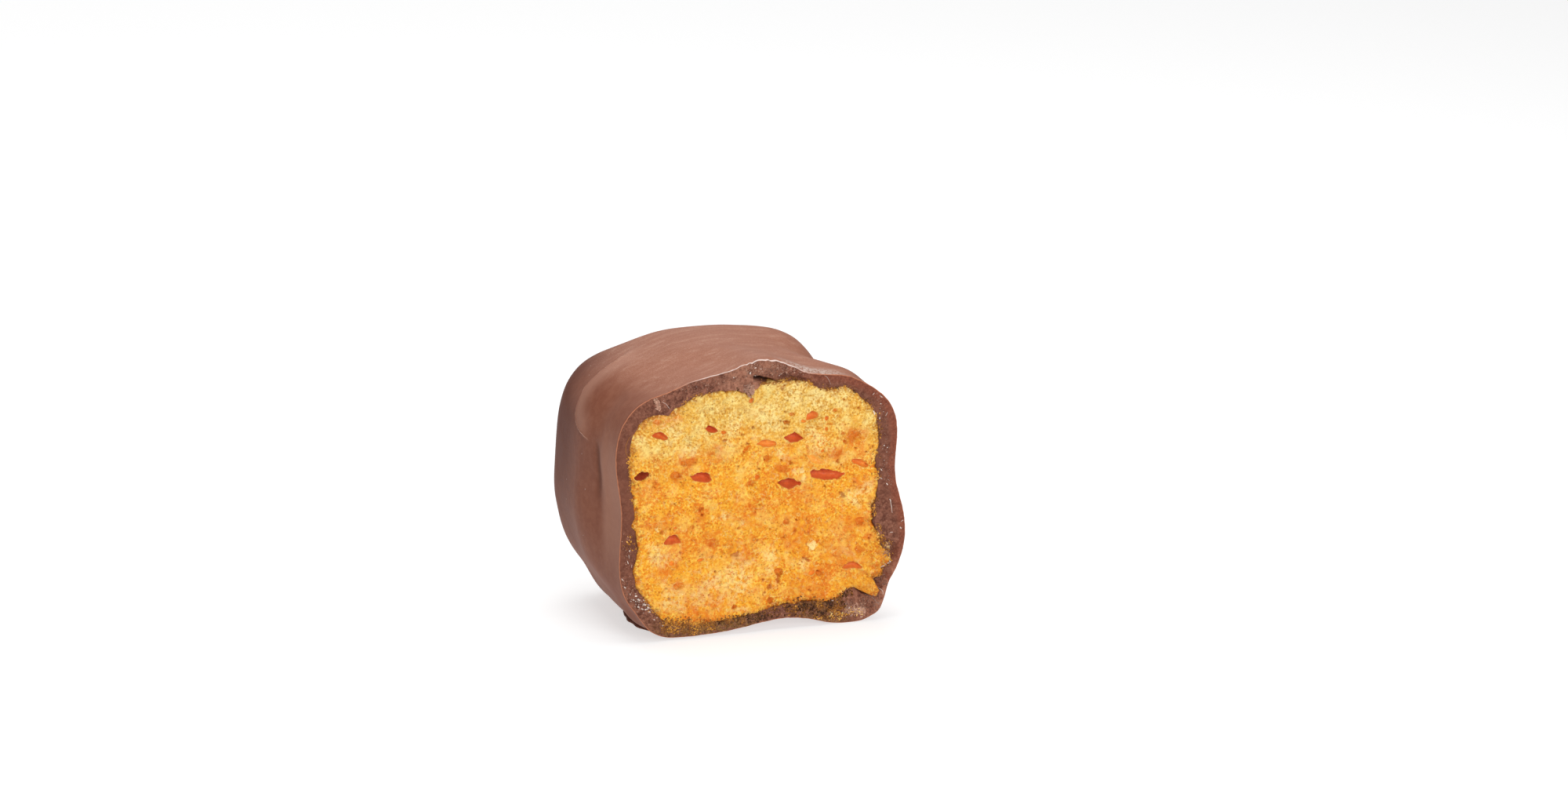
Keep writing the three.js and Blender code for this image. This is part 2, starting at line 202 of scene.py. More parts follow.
def skin(name, rings, marks):
    """A closed mesh through rings of points, from one tip to the other. marks are numbers at the points."""
    triangles, first = [], 0
    for near, far in zip(rings, rings[1:]):
        m, n = len(near), len(far)
        steps = np.concatenate([(np.arange(m) + 0.5) / m, (np.arange(n) + 0.5) / n])
        order = np.argsort(steps, kind="stable")
        is_near = order < m
        i = np.cumsum(is_near) - is_near
        j = np.cumsum(~is_near) - ~is_near
        one = np.stack([first + i % m, first + m + j % n, first + (i + 1) % m], 1)
        two = np.stack([first + i % m, first + m + j % n, first + m + (j + 1) % n], 1)
        use = (is_near & (m > 1)) | (~is_near & (n > 1))
        triangles.append(np.where(is_near[:, None], one, two)[use])
        first += m
    mesh = bpy.data.meshes.new(name)
    corners = np.concatenate(triangles)
    mesh.from_pydata((np.concatenate(rings) * MM).tolist(), [], corners.tolist())
    for mark, values in marks.items():
        layer = mesh.attributes.new(mark, "FLOAT", "POINT")
        layer.data.foreach_set("value", np.asarray(values, np.float32))
    mesh.shade_smooth()
    return placed(name, mesh)


# Bubbles cut through by the break: x, z, width, height, depth, tilt, how pointed, sag of its ends
BUBBLES = (
    (-14.8, 21.75, 1.9, 1.0, 2.0, 12, 0.15, 0), (-12.3, 26.8, 2.1, 1.05, 1.0, -14, 0.55, -0.25),
    (-5.7, 27.2, 1.8, 0.8, 1.2, -18, 0.7, 0), (-6.9, 21.0, 3.1, 1.35, 1.3, -14, 0.6, -0.2),
    (2.0, 24.55, 2.8, 0.95, 0.6, -8, 0.35, -0.35), (5.55, 25.1, 2.7, 1.2, 1.2, -7, 0.85, -0.15),
    (7.9, 27.85, 1.5, 1.05, 0.75, 6, 0.1, 0), (14.4, 21.1, 2.6, 0.95, 0.7, -24, 0.55, -0.2),
    (9.7, 20.0, 4.7, 1.3, 1.2, -7, 0.15, 0.4), (4.85, 19.2, 3.05, 1.3, 1.5, -6, 0.75, 0),
    (8.3, 22.0, 2.6, 0.9, 0.3, -28, 0.5, 0.2), (-10.8, 13.05, 2.3, 1.2, 1.1, 2, 0.45, -0.35),
    (13.3, 7.6, 2.4, 0.9, 0.9, -4, 0.4, -0.7), (-10.9, 10.0, 0.75, 0.65, 0.4, 20, 0, 0),
    (-7.0, 10.1, 0.95, 0.4, 0.5, 14, 0.4, 0.3), (9.8, 27.35, 0.5, 0.5, 0.6, -30, 0, 0),
    (9.8, 25.9, 0.42, 0.5, 0.5, 10, 0, 0), (0.6, 20.4, 0.6, 0.5, 0.6, 20, 0.1, 0),
    (6.8, 27.1, 0.7, 0.32, 0.4, -10, 0.4, 0), (-0.3, 30.45, 0.85, 0.55, 0.7, 48, 0.7, 0),
    (-4.0, 26.7, 0.8, 0.35, 0.5, -25, 0.4, 0), (9.3, 23.1, 0.55, 0.45, 0.5, 30, 0.3, 0),
    (7.9, 7.1, 1.0, 0.7, 0.5, 24, 0.3, 0.3), (-10.3, 14.6, 0.6, 0.3, 0.5, 0, 0.3, 0),
)
# Soft shallow pits without an edge, stained orange: x, z, width, height, depth, tilt
SOFT_PITS = (
    (-8.3, 23.2, 2.0, 1.2, 0.4, 8), (-9.2, 23.1, 0.8, 0.9, 0.5, 0), (-10.2, 21.5, 1.9, 1.1, 0.45, 0),
    (-0.9, 24.1, 1.5, 0.6, 0.4, 38), (13.3, 24.8, 2.0, 1.9, 0.35, -10), (12.2, 24.1, 0.8, 0.5, 0.4, -30),
    (-0.3, 19.6, 1.5, 0.9, 0.35, 10), (-5.4, 12.2, 1.8, 1.3, 0.3, 20), (14.5, 13.3, 1.6, 1.2, 0.4, 0),
    (3.9, 21.1, 2.0, 1.1, 0.3, -10), (11.2, 22.8, 1.6, 1.1, 0.25, 20), (11.9, 25.2, 0.7, 0.45, 0.35, -10),
    (3.4, 7.7, 1.3, 1.0, 0.5, -20), (8.9, 6.9, 1.2, 0.7, 0.35, -30), (1.9, 22.6, 1.2, 1.0, 0.3, 0),
    (-9.9, 7.1, 1.6, 1.0, 0.3, 10), (4.3, 14.3, 1.1, 0.9, 0.5, 30), (14.3, 9.6, 1.6, 0.9, 0.3, -20),
    (5.2, 28.2, 0.9, 0.6, 0.3, 0), (4.6, 27.1, 0.8, 0.7, 0.35, 0), (10.9, 28.3, 0.8, 0.6, 0.25, 0),
    (2.4, 3.9, 0.9, 0.9, 0.35, 0), (-2.6, 3.6, 0.8, 0.5, 0.35, 20), (-12.6, 28.7, 1.6, 0.8, 0.25, 0),
)
# Small dark pinholes, soft amber stains and pale dry patches: x, z, width
PINHOLES = (
    (3.9, 22.2, 0.35), (13.5, 18.7, 0.5), (12.6, 29.8, 0.5), (13.0, 29.4, 0.35), (12.2, 16.8, 0.5),
    (2.1, 13.5, 0.45), (0.9, 9.7, 0.35), (4.9, 10.1, 0.4), (-2.0, 14.0, 0.4), (5.5, 12.9, 0.5),
    (-8.1, 20.0, 0.45), (-4.4, 8.5, 0.35), (-5.1, 8.5, 0.3), (-11.6, 6.8, 0.35), (-6.8, 16.0, 0.5),
    (-7.0, 16.6, 0.4), (-15.5, 17.7, 0.3), (-12.3, 14.2, 0.5), (-5.4, 29.8, 0.5), (10.2, 23.9, 0.5),
    (15.1, 10.2, 0.6), (15.7, 10.9, 0.4), (3.9, 31.6, 0.6), (4.6, 27.2, 0.6), (-1.5, 26.1, 0.6),
    (-2.0, 22.0, 0.6), (1.6, 22.5, 0.6), (4.0, 12.3, 0.4), (-2.8, 3.5, 0.5), (3.3, 6.7, 0.5),
    (15.0, 22.6, 0.4), (14.1, 28.3, 0.6), (-10.4, 17.8, 0.5), (-8.7, 25.3, 0.4), (2.3, 4.0, 0.6),
)
STAINS = (
    (13.5, 24.5, 2.2), (11.4, 22.7, 1.8), (4.4, 21.5, 2.0), (14.6, 18.5, 1.8), (12.0, 12.6, 2.4),
    (14.5, 13.2, 1.8), (-0.3, 16.0, 3.0), (-1.1, 10.5, 2.6), (9.8, 7.1, 2.4), (5.8, 17.8, 2.6),
    (-11.4, 15.7, 1.4), (-13.5, 15.8, 1.3), (-5.7, 12.3, 2.0), (-13.3, 20.5, 1.6), (-14.3, 19.7, 1.4),
    (-9.5, 12.9, 2.4), (-6.8, 16.3, 1.5), (-11.9, 9.9, 2.2), (-10.4, 7.0, 1.8), (-9.0, 23.0, 1.8),
    (-12.4, 28.8, 1.8), (-4.7, 24.1, 1.8), (-10.6, 29.1, 1.6), (8.2, 22.2, 2.0), (2.5, 20.5, 1.3),
    (8, 4.5, 5), (-7, 3.8, 5), (12, 9.5, 4), (6, 13, 4),
)
PALE_PATCHES = (
    (5.8, 20.8, 0.8), (1.9, 28.0, 2.6), (9.0, 24.2, 2.4), (-2.8, 27.4, 1.8), (15.4, 17.7, 1.2),
    (6.7, 19.8, 0.8), (12.4, 30.4, 1.5), (-3.3, 24.8, 1.0), (4.0, 23.3, 1.2), (10.5, 30.2, 2.0),
    (2.2, 8.1, 1.0), (-2.2, 6.9, 3.4), (-0.8, 9.1, 0.8), (2.2, 10.2, 1.3), (-5.1, 7.0, 2.4),
    (13.8, 16.5, 1.8), (6.6, 8.3, 1.0), (-5.3, 15.5, 0.6), (-13.4, 12.2, 1.2), (-12.8, 10.9, 1.8),
    (-10.6, 5.8, 2.4), (-3.7, 15.6, 0.8), (-7.2, 5.5, 2.0), (-14.7, 26.4, 1.0), (-10.6, 26.8, 1.6),
    (-8.1, 24.7, 1.6), (5.5, 30.8, 2.6), (8.5, 30.3, 2.2),
)
# Angular crumbs left standing on the face: x, z, width, height, forward, tilt
STANDING_CRUMBS = (
    (7.8, 10.9, 1.3, 1.8, 0.3, 24), (-12.7, 14.8, 0.9, 0.8, 0.3, 10), (-1.7, 14.6, 0.8, 0.8, 0.25, 0),
    (12.9, 9.3, 3.6, 1.0, 0.1, -40),
)


def turned(x, z, at, width, height, tilt):
    """Places counted along and across a small shape's own axes, 1 at its ends."""
    cos, sin = math.cos(math.radians(tilt)), math.sin(math.radians(tilt))
    along = (x - at[0]) * cos + (z - at[1]) * sin
    across = (z - at[1]) * cos - (x - at[0]) * sin
    return along / (width / 2), across / (height / 2)


def break_relief(x, z):
    """How far the break's slow waves stand behind its plane."""
    wave = np.sin(0.31 * x + 0.6) * np.sin(0.27 * z + 1.1)
    crumb = np.sin(1.15 * x + 0.7 * z) * np.sin(0.9 * z - 0.8 * x + 2)
    return 0.32 * (wave + 0.45 * crumb)


def spots(x, z, places, wobble):
    """A soft-edged mask of round spots."""
    mask = 0 * x
    for at_x, at_z, width in places:
        mask = np.maximum(mask, 1 - ease(0.25, 1.1, np.hypot(x - at_x, z - at_z) * (1 + wobble) / width))
    return mask


def bubbles(x, z, ragged):
    """The bubbles' depth, and the marks of their glass."""
    # glass counts millimetres inwards from a bubble's edge, so the shader can draw that edge crisply
    hole, glass, roof, tone = 0 * x, 0 * x - 1, 0 * x, 0 * x
    for at_x, at_z, width, height, depth, tilt, pointed, sag in BUBBLES:
        along, across = turned(x, z, (at_x, at_z), width, height, tilt)
        across = across - sag * along**2 + 0.3 * sag
        oval, lens = np.hypot(along, across), np.abs(across) + along**2
        edge = (oval + (lens - oval) * pointed) * (1 + ragged)
        inwards = (1 - edge) * min(width, height) / 2
        hole = np.maximum(hole, depth * np.clip(1 - edge**2, 0, 1) ** 0.65)
        inner = inwards > glass
        glass = np.where(inner, inwards, glass)
        # roof is about -1 at a bubble's bottom and 1 at its top, where its glass is painted darker as shade
        # under the edge.
        roof = np.where(inner, 0.8 * across - 0.35 * along, roof)
        tone = np.where(inner, min(1.6, depth / 1.2), tone)
    return hole, glass, roof, tone


def pinholes(flat, ragged):
    """A mask of the dark pinholes, those listed and some strewn between them."""
    pin = 0 * ragged
    for at_x, at_z, width in PINHOLES:
        away = np.hypot(flat[:, 0] - at_x, flat[:, 2] - at_z) * (1 + 3 * ragged)
        pin = np.maximum(pin, 1 - ease(0.1, 0.42, away / width))
    near, number = pores(flat, 1.5, 20)
    width = 0.03 + 0.1 * number**3
    return np.maximum(pin, (1 - ease(0.7, 1.2, near * (1 + 3 * ragged) / width)) * (number > 0.8))


def soft_pits(x, z, wobble):
    """A mask of the soft pits, and their depth."""
    pit, low = 0 * x, 0 * x
    for at_x, at_z, width, height, depth, tilt in SOFT_PITS:
        along, across = turned(x, z, (at_x, at_z), width, height, tilt)
        soft = 1 - ease(0.5, 1.1, np.hypot(along, across) * (1 + 0.2 * wobble))
        pit, low = np.maximum(pit, soft), np.maximum(low, depth * soft)
    return pit, low


def fine_pores(flat):
    """Masks of the fine pores, which come in crowds, and of the finest between them."""
    crowd = ease(-0.35, 0.5, grain(flat, 1.9, 15))
    bent = flat + 0.16 * np.stack([grain(flat, 0.45, 16), 0 * crowd, grain(flat, 0.45, 17)], 1)
    near, number = pores(bent, 0.62, 30)
    fine = (1 - ease(0.16, 0.44, near)) * (number > 0.3) * (0.35 + 0.65 * crowd)
    near, number = pores(bent, 0.34, 40)
    return fine, (1 - ease(0.18, 0.5, near)) * (number > 0.25)


def standing_crumbs(x, z):
    """How far the crumbs left standing on the face come forward."""
    proud = 0 * x
    for at_x, at_z, width, height, forward, tilt in STANDING_CRUMBS:
        along, across = turned(x, z, (at_x, at_z), width, height, tilt)
        corner = np.maximum(np.abs(along + 0.4 * across), np.abs(across - 0.3 * along))
        proud = np.maximum(proud, forward * (1 - ease(0.75, 1.0, corner)))
    return proud


def sponge(x, z):
    """The broken toffee's depth behind its plane, and the marks that colour it."""
    flat = np.stack([x, 0 * x, z], 1)
    wobble = grain(flat, 0.8, 11)
    ragged = 0.18 * wobble + 0.17 * grain(flat, 0.42, 18) + 0.08 * grain(flat, 0.2, 23)
    hole, glass, roof, tone = bubbles(x, z, ragged)
    solid = 1 - ease(-0.12, 0.02, glass)  # 0 in the bubbles
    pin, proud = pinholes(flat, ragged), standing_crumbs(x, z)
    pit, low = soft_pits(x, z, wobble)
    fine, finest = fine_pores(flat)
    rough = 0.13 * grain(flat, 1.6, 12) + 0.09 * grain(flat, 0.7, 13) + 0.06 * grain(flat, 0.33, 14)
    depth = rough * (0.15 + 0.85 * solid) + hole + 0.35 * pin * solid + low * solid - proud
    depth = depth + (0.16 * fine + 0.09 * finest) * solid
    depth = depth - 0.07 * solid * (1 - ease(0.02, 0.22, -glass))  # the lips of the bubbles
    marks = {
        "glass": glass,
        "roof": roof,
        "tone": tone,
        "pin": pin * solid,
        "pore": np.maximum(fine, 0.7 * finest) * solid,
        "pit": pit * solid,
        "stain": spots(x, z, STAINS, 0.5 * wobble) * solid,
        "pale": np.maximum(spots(x, z, PALE_PATCHES, 0.6 * wobble), proud / 0.3) * solid,
    }
    return depth, marks


def crag_at(angle):
    """How far the crag reaches over the wall at an angle."""
    return on_knots(CRAG_KNOTS, angle)


# How far the toffee runs into the wall at the break, and the room that it leaves behind
FACE_OVERLAP, CRAG_OVERLAP, HIDDEN_ROOM = 0.05, 0.02, 0.05
FACE_RINGS, FACE_POINTS, CRAG_EDGE_POINTS, HIDDEN_POINTS = 146, 1040, 460, 120
HIDDEN_DEPTHS = (1.7, 4, 7, 9.5, 13, 17.2)


def hidden_rings(overlap=0):
    """The core's outside from behind the break to the middle of its rounded back."""
    back = DEPTH - INNER_WALL
    rings = [core_point(ring_of(HIDDEN_POINTS), depth, overlap) for depth in HIDDEN_DEPTHS]
    for turn in (30, 60, 90):
        at = back - BACK_EDGE * (1 - math.sin(math.radians(turn)))
        inset = BACK_EDGE * (1 - math.cos(math.radians(turn)))
        rings.append(core_point(ring_of(HIDDEN_POINTS), at, overlap, inset))
    for share, count in ((0.6, 72), (0.3, 36), (0, 1)):
        rings.append(core_point(ring_of(count), back, overlap, BACK_EDGE, share))
    return rings


def core_rings():
    """The broken face from its middle outwards, the crag's thick edge, and the hidden outside."""
    mid_x, mid_z = BREAK_SECTION[0]
    rings, marks = [], []
    for share in np.linspace(0, 1, FACE_RINGS):
        angle = ring_of(max(1, round(FACE_POINTS * share)))
        rim = core_point(angle, 0, FACE_OVERLAP, reach=crag_at(angle) * share**4)
        x = mid_x + (rim[:, 0] - mid_x) * share
        z = mid_z + (rim[:, 2] - mid_z) * share
        depth, mark = sponge(x, z)
        mark["edge"] = ease(0.94, 1.0, share + 0.03 * grain(np.stack([x, 0 * x, z], 1), 0.7, 19))
        mark["crag"] = ease(0.3, 1, crag_at(angle)) * ease(0.8, 1, share) * np.ones(len(x))
        stands = CRAG_PROUD * ease(0, 1, crag_at(angle)) * ease(0.6, 1, share)
        rounded = 0.14 * ease(0.985, 1, share)
        rings.append(np.stack([x, BREAK_Y + break_relief(x, z) + depth - stands + rounded, z], 1))
        marks.append(mark)
    angle = ring_of(CRAG_EDGE_POINTS)
    crag = ease(0, 1, crag_at(angle))
    for depth, overhang in ((0.3, 0.97), (CRAG_THICK, 0.9), (1.5 * CRAG_THICK, 0)):
        point = core_point(angle, 0, CRAG_OVERLAP, reach=overhang * crag_at(angle))
        core = core_point(angle, 0)
        point[:, 1] += break_relief(core[:, 0], core[:, 2]) + depth - CRAG_PROUD * crag
        rings.append(point)
    rings += hidden_rings(-HIDDEN_ROOM)
    hidden = sum(len(r) for r in rings) - sum(len(m["pin"]) for m in marks)
    every = {k: np.concatenate([m[k] for m in marks] + [np.zeros(hidden)]) for k in marks[0]}
    return rings, every


class Wire:
    """An output of a shader node. Sums, differences and products of wires are Math nodes."""

    def __init__(self, socket):
        self.socket = socket

    def add(self, kind, settings=None, sockets=None, output=0):
        """A new node: its settings first, then the values or links of its sockets."""
        tree = self.socket.id_data
        node = tree.nodes.new("ShaderNode" + kind)
        for setting, value in (settings or {}).items():
            setattr(node, setting, value)
        for socket, value in (sockets or {}).items():
            if isinstance(value, Wire):
                tree.links.new(value.socket, node.inputs[socket])
            else:
                node.inputs[socket].default_value = value
        return Wire(node.outputs[output]) if node.outputs else node

    def maths(self, operation, *values):
        return self.add("Math", {"operation": operation}, dict(enumerate(values)))

    def __add__(self, other):
        return self.maths("ADD", self, other)

    def __radd__(self, other):
        return self.maths("ADD", other, self)

    def __sub__(self, other):
        return self.maths("SUBTRACT", self, other)

    def __rsub__(self, other):
        return self.maths("SUBTRACT", other, self)

    def __mul__(self, other):
        return self.maths("MULTIPLY", self, other)

    def __rmul__(self, other):
        return self.maths("MULTIPLY", other, self)

    def step(self, low, high):
        """0 below low and 1 above high, smooth between."""
        span = {"Value": self, "From Min": low, "From Max": high}
        return self.add("MapRange", {"interpolation_type": "SMOOTHSTEP"}, span)

    def tint(self, under, over):
        """A colour: under where this mask is 0, over where it is 1."""
        return self.add("Mix", {"data_type": "RGBA"}, {0: self, 6: under, 7: over}, output=2)

    def shades(self, under, over):
        """A colour between two that are given as screens show them."""
        return self.tint(paint(*under), paint(*over))

    def noise(self, size, detail=2.0, roughness=0.5, output=0):
        """Noise with lumps about size millimetres apart, around 0.5."""
        place = self.add("VectorMath", {"operation": "MULTIPLY"}, {0: self, 1: [1000, 1000, 1000]})
        return place.add("TexNoise", {}, {
            "Vector": place, "Scale": 1 / size, "Detail": detail, "Roughness": roughness,
        }, output)

    def cells(self, size, feature="F1", output=0):
        """Voronoi cells about size millimetres wide."""
        place = self.add("VectorMath", {"operation": "SCALE"}, {0: self, "Scale": 1000})
        return place.add("TexVoronoi", {"feature": feature}, {"Vector": place, "Scale": 1 / size}, output)

    def bent(self, size, by):
        """The place, pushed about by noise, so that cells get crooked outlines."""
        push = self.noise(size, 2, output=1)
        push = push.add("VectorMath", {"operation": "SUBTRACT"}, {0: push, 1: [0.5, 0.5, 0.5]})
        push = push.add("VectorMath", {"operation": "SCALE"}, {0: push, "Scale": by / 1000})
        return push.add("VectorMath", {"operation": "ADD"}, {0: self, 1: push})

    def mark(self, name):
        """A number that the mesh carries."""
        return self.add("Attribute", {"attribute_name": name}, output=2)


def paint(red, green, blue):
    """A colour as screens show it, from 0 to 255, for a shader."""
    share = [c / 255 for c in (red, green, blue)]
    return [c / 12.92 if c < 0.04045 else ((c + 0.055) / 1.055) ** 2.4 for c in share] + [1]


def new_finish(name):
    """A material without a surface yet, and a wire with the place on the object."""
    material = bpy.data.materials.new(name)
    material.use_nodes = True
    material.node_tree.nodes.clear()
    return material, Wire(material.node_tree.nodes.new("ShaderNodeTexCoord").outputs["Object"])


def surface(place, sockets):
    """Gives a material its shader, from the values or wires of its sockets."""
    shader = place.add("BsdfPrincipled", {}, sockets)
    shader.add("OutputMaterial", {}, {"Surface": shader})


# Colours of the toffee as screens show them, in its golden lower part and its straw-yellow upper part
SUGAR = (243, 168, 40), (238, 187, 80)
CREAM = (250, 204, 104), (246, 222, 138)
SMEAR = (230, 124, 26), (204, 136, 38)
PALE_GRAIN = (252, 214, 92), (254, 230, 150)
BURNT_GRAIN = (224, 108, 18), (192, 124, 36)
DOT = (182, 80, 16), (164, 96, 26)
SPECK = (180, 80, 16), (164, 96, 26)
PORE = (200, 102, 24), (190, 126, 46)
# Heights between which one part turns into the other, and how deep the finest grain seems, in metres
TOP_FROM, TOP_TO, TOP_WAVER = 20.5 * MM, 30 * MM, 14 * MM
GRAIN_DEPTH = 0.12 * MM


def layered(colour, *layers):
    """A colour with others laid over it in turn, each with the mask of where it shows."""
    for mask, over in layers:
        colour = mask.tint(colour, over)
    return colour


def dry_toffee(place, crooked, glass):
    """The colour of the broken sponge, and its finest relief."""
    height = place.add("SeparateXYZ", {}, {0: place}, output=2)
    top = (height + (place.noise(4.5, 3, 0.6) - 0.5) * TOP_WAVER).step(TOP_FROM, TOP_TO)
    creamy = place.noise(2.6, 3, 0.6).step(0.46, 0.66)
    smear = place.noise(1.7, 4, 0.65).step(0.51, 0.66)
    ragged = place.noise(0.6, 3, 0.6).step(0.35, 0.6)
    stain, pit = place.mark("stain") * ragged, place.mark("pit")
    join = place.mark("edge") * place.noise(0.4, 3, 0.65).step(0.36, 0.56)
    fine = place.noise(0.3, 3, 0.7)
    grainy = place.noise(2.4, 3, 0.6).step(0.38, 0.62) * 0.4
    curl = crooked.cells(0.75, "DISTANCE_TO_EDGE").step(0.11, 0.03) * place.noise(0.8, 2).step(0.52, 0.64)
    dot = crooked.cells(0.4).step(0.32, 0.14) * place.noise(1.4, 2).step(0.38, 0.6)
    speck = crooked.cells(0.2).step(0.3, 0.12) * place.noise(0.9, 2).step(0.4, 0.6)
    crag = place.mark("crag") * place.noise(0.7).step(0.3, 0.7)
    lip = glass.step(-0.16, -0.05) * glass.step(0.01, -0.02) * place.noise(0.9).step(0.4, 0.6)
    colour = layered(
        top.shades(*SUGAR),
        (creamy * (0.6 + top * 0.2), top.shades(*CREAM)),
        (smear * (0.65 - top * 0.25), top.shades(*SMEAR)),
        (stain * 0.7, paint(228, 120, 28)),
        (place.mark("pale") * ragged * 0.85, paint(252, 224, 146)),
        (pit * (ragged * 0.4 + 0.5), paint(224, 122, 30)),
        (join * 0.85, paint(158, 86, 26)),
        (fine.step(0.5, 0.64) * (grainy + 0.4), top.shades(*PALE_GRAIN)),
        (fine.step(0.5, 0.36) * (grainy + 0.46) * (1 - creamy * 0.45), top.shades(*BURNT_GRAIN)),
        (curl * 0.35, paint(255, 226, 146)),
        (dot * 0.55, top.shades(*DOT)),
        (speck * 0.45, top.shades(*SPECK)),
        (place.mark("pore") * (1 - creamy * 0.4) * 0.48, top.shades(*PORE)),
        (place.mark("pin") * 0.6, paint(164, 76, 22)),
        (crag * 0.75, paint(196, 112, 34)),
        (pit * (ragged * 0.3 + 0.2), paint(214, 114, 32)),
        (stain * 0.25, paint(216, 100, 22)),
        (lip * 0.3, paint(255, 226, 140)),
    )
    return colour, place.noise(0.14, 2, 0.6) * 0.8 + curl * 0.5 - dot * 0.7 - speck * 0.4


def honeycomb_finish():
    """Dry toffee with cream patches, dark pores and thin pale curls, and amber glass in the bubbles, painted
    darker at their tops and in the deepest as shade, and with a faint painted glow.
    """
    material, place = new_finish("honeycomb_toffee")
    crooked, glass, tone = place.bent(0.45, 0.35), place.mark("glass"), place.mark("tone")
    sugar, relief = dry_toffee(place, crooked, glass)
    smooth = glass.step(-0.04, 0.04)
    rough_part = 1 - smooth
    covered = tone * 0.8 + place.noise(0.5, 3, 0.65).step(0.3, 0.62) * 0.5
    # Painted shade: the amber glass is darker red towards the top of each bubble and in the deepest bubbles.
    dark = place.mark("roof").step(-0.5, 0.9) * tone * 0.8 + tone.step(1.2, 1.7) * 0.7
    amber = tone.shades((232, 148, 52), (220, 106, 56))
    amber = (dark + (place.noise(0.3, 4, 0.7) - 0.5) * 1.1).tint(amber, paint(142, 50, 42))
    glint = crooked.cells(0.34).step(0.13, 0.06) * place.noise(0.9).step(0.52, 0.62) * rough_part
    colour = layered(sugar, (smooth * covered, amber), (glint * 0.85, paint(255, 248, 205)))
    relief = relief * (rough_part * 0.9 + 0.1)
    bump = relief.add("Bump", {}, {"Height": relief, "Strength": 0.7, "Distance": GRAIN_DEPTH})
    surface(place, {
        "Base Color": colour, "Roughness": 0.62 - smooth * 0.26 - glint * 0.3, "Normal": bump,
        "IOR": 1.5, "Specular IOR Level": 0.18,
        # A faint painted glow of the amber glass in the bubbles, in place of light that shines through the
        # toffee.
        "Emission Color": smooth.tint(paint(0, 0, 0), amber), "Emission Strength": 0.14,
    })
    return material


rings, marks = core_rings()
honeycomb = skin("honeycomb", rings, marks)
honeycomb.data.materials.append(honeycomb_finish())
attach(honeycomb, "root")
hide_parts("honeycomb_core")

# Milk chocolate shell
# Tempered milk chocolate, poured over the toffee and set with a satin skin. It was snapped with the
# core, so its broken wall is dull, grainy and darker, with a thin bright line along its outer edge that
# is a painted highlight. Light and shade are painted on the chocolate too: sheen on top, a highlight on
# the left, and shade at the back left and in the crevices.
UNDERSIDE = 0.3
# Stretches of the rim: the angle of the middle, the spread in degrees and how squarely it ends
SHOULDER, SHOULDER_CHIP, SHOULDER_CHIP_DEPTH = (73, 8), 0.35, 1.2
SET_BACK, SET_BACK_DEPTH, SET_BACK_START = (-36.5, 13, 8), 1.0, 0.3
CROWN_RIM, CROWN_WALL, FLAKE, WHITE_RIM_HIGHLIGHT = (86, 17, 4), (87, 15, 4), (81, 14, 8), (96, 26, 6)
LEFT_WALL, RIGHT_WALL, RUDDY_WALL = (176, 34, 4), (30, 50, 4), (10, 60, 6)
LEFT_STRIP, LEFT_PAINTED_HIGHLIGHT, FLAKY_COAT = (172, 17, 4), (178, 24, 4), (67, 13, 4)
DUSTY_BASE, DUSTY_CORNER = (-112, 20, 4), (-66, 10, 4)
CRUMBLED_CROWN, CRUMBLED_CORNER = (98, 14, 4), (-40, 13, 4)
# Soft lumps and hollows of the coating: x, y, z, spread, rise
LUMPS = (
    (17.5, 2, 21, 6.5, -1.1), (16, 3, 8, 5, 0.5), (-3, 13, 23, 7.5, -1.3), (8, 12.5, 11, 5, 0.7),
    (-7, 3, 35, 5.5, 0.4), (5, -3, 35.5, 4, -0.3), (5.2, 7.8, 31.9, 4.9, 0.55), (10.3, 8.1, 32.9, 3.1, 0.2),
    (12.5, -0.8, 33.3, 4.5, -1.4), (14.4, -8.8, 31.8, 2.5, 0.4), (-14.5, -8, 3, 3.5, 0.5),
    (-20.5, 4, 9, 5, -0.4), (-13, 12, 9, 5, -0.6),
)
LUMP_CENTRE = (-1, -1, 17.7)
DIMPLES = ((-16.9, -6.6, 31.0, 2.3, -0.42), (-18.3, -6.8, 28.0, 1.8, -0.25))


def lumpy(point, lumps):
    """How far soft lumps and hollows raise a point."""
    rise = 0 * point[:, 0]
    for *place, spread, height in lumps:
        rise = rise + height * np.exp(-((np.linalg.norm(point - place, axis=1) / spread) ** 2))
    return rise


def coating_point(angle, depth, inset=0, share=1):
    """A point of the coating's outside."""
    chipped = SHOULDER_CHIP * swell(angle, *SHOULDER) * (1 - ease(0, SHOULDER_CHIP_DEPTH, depth))
    ring = np.stack([np.cos(np.radians(angle)), np.sin(np.radians(angle)), 0 * angle + depth / 16], 1) * 16
    uneven = 0.09 * grain(ring, 0.7, 21) + 0.06 * grain(ring, 0.3, 22)
    chipped = chipped + (0.05 + uneven) * (1 - ease(0, 0.5, depth)) * (0.35 + 1.2 * swell(angle, *CROWN_RIM))
    x, z = section_point(angle, depth, inset + chipped, share)
    point = np.stack([x, BREAK_Y + depth + 0 * x, z], 1)
    outwards = point - LUMP_CENTRE
    outwards /= np.linalg.norm(outwards, axis=1)[:, None]
    rise = lumpy(point, LUMPS) + set_skin(point, angle, depth)
    point = point + outwards * (rise * ease(0.5, 5, depth))[:, None]
    point[:, 2] = soft_max(point[:, 2], UNDERSIDE * ease(0, 4, depth), FLOOR_ROUNDING)
    return point


# The crease at the upper left, where the setting coat folded over itself, and the furrow behind the
# rim on the left: angle and depth
CREASE = (
    (118, 17.6), (121.3, 16.65), (125.5, 15.2), (129.6, 13.95), (136, 13.25), (142, 13.1), (147.7, 12.95),
    (151.5, 12.9), (154, 12.55), (156.3, 11.9), (158, 10.8), (159.3, 9.05), (160.2, 7.3),
)
FURROW = ((157, 5.9), (163, 5.5), (170, 5.3), (178, 5.5), (183, 5.9))
DEGREE = 0.33  # millimetres of the left side in a degree


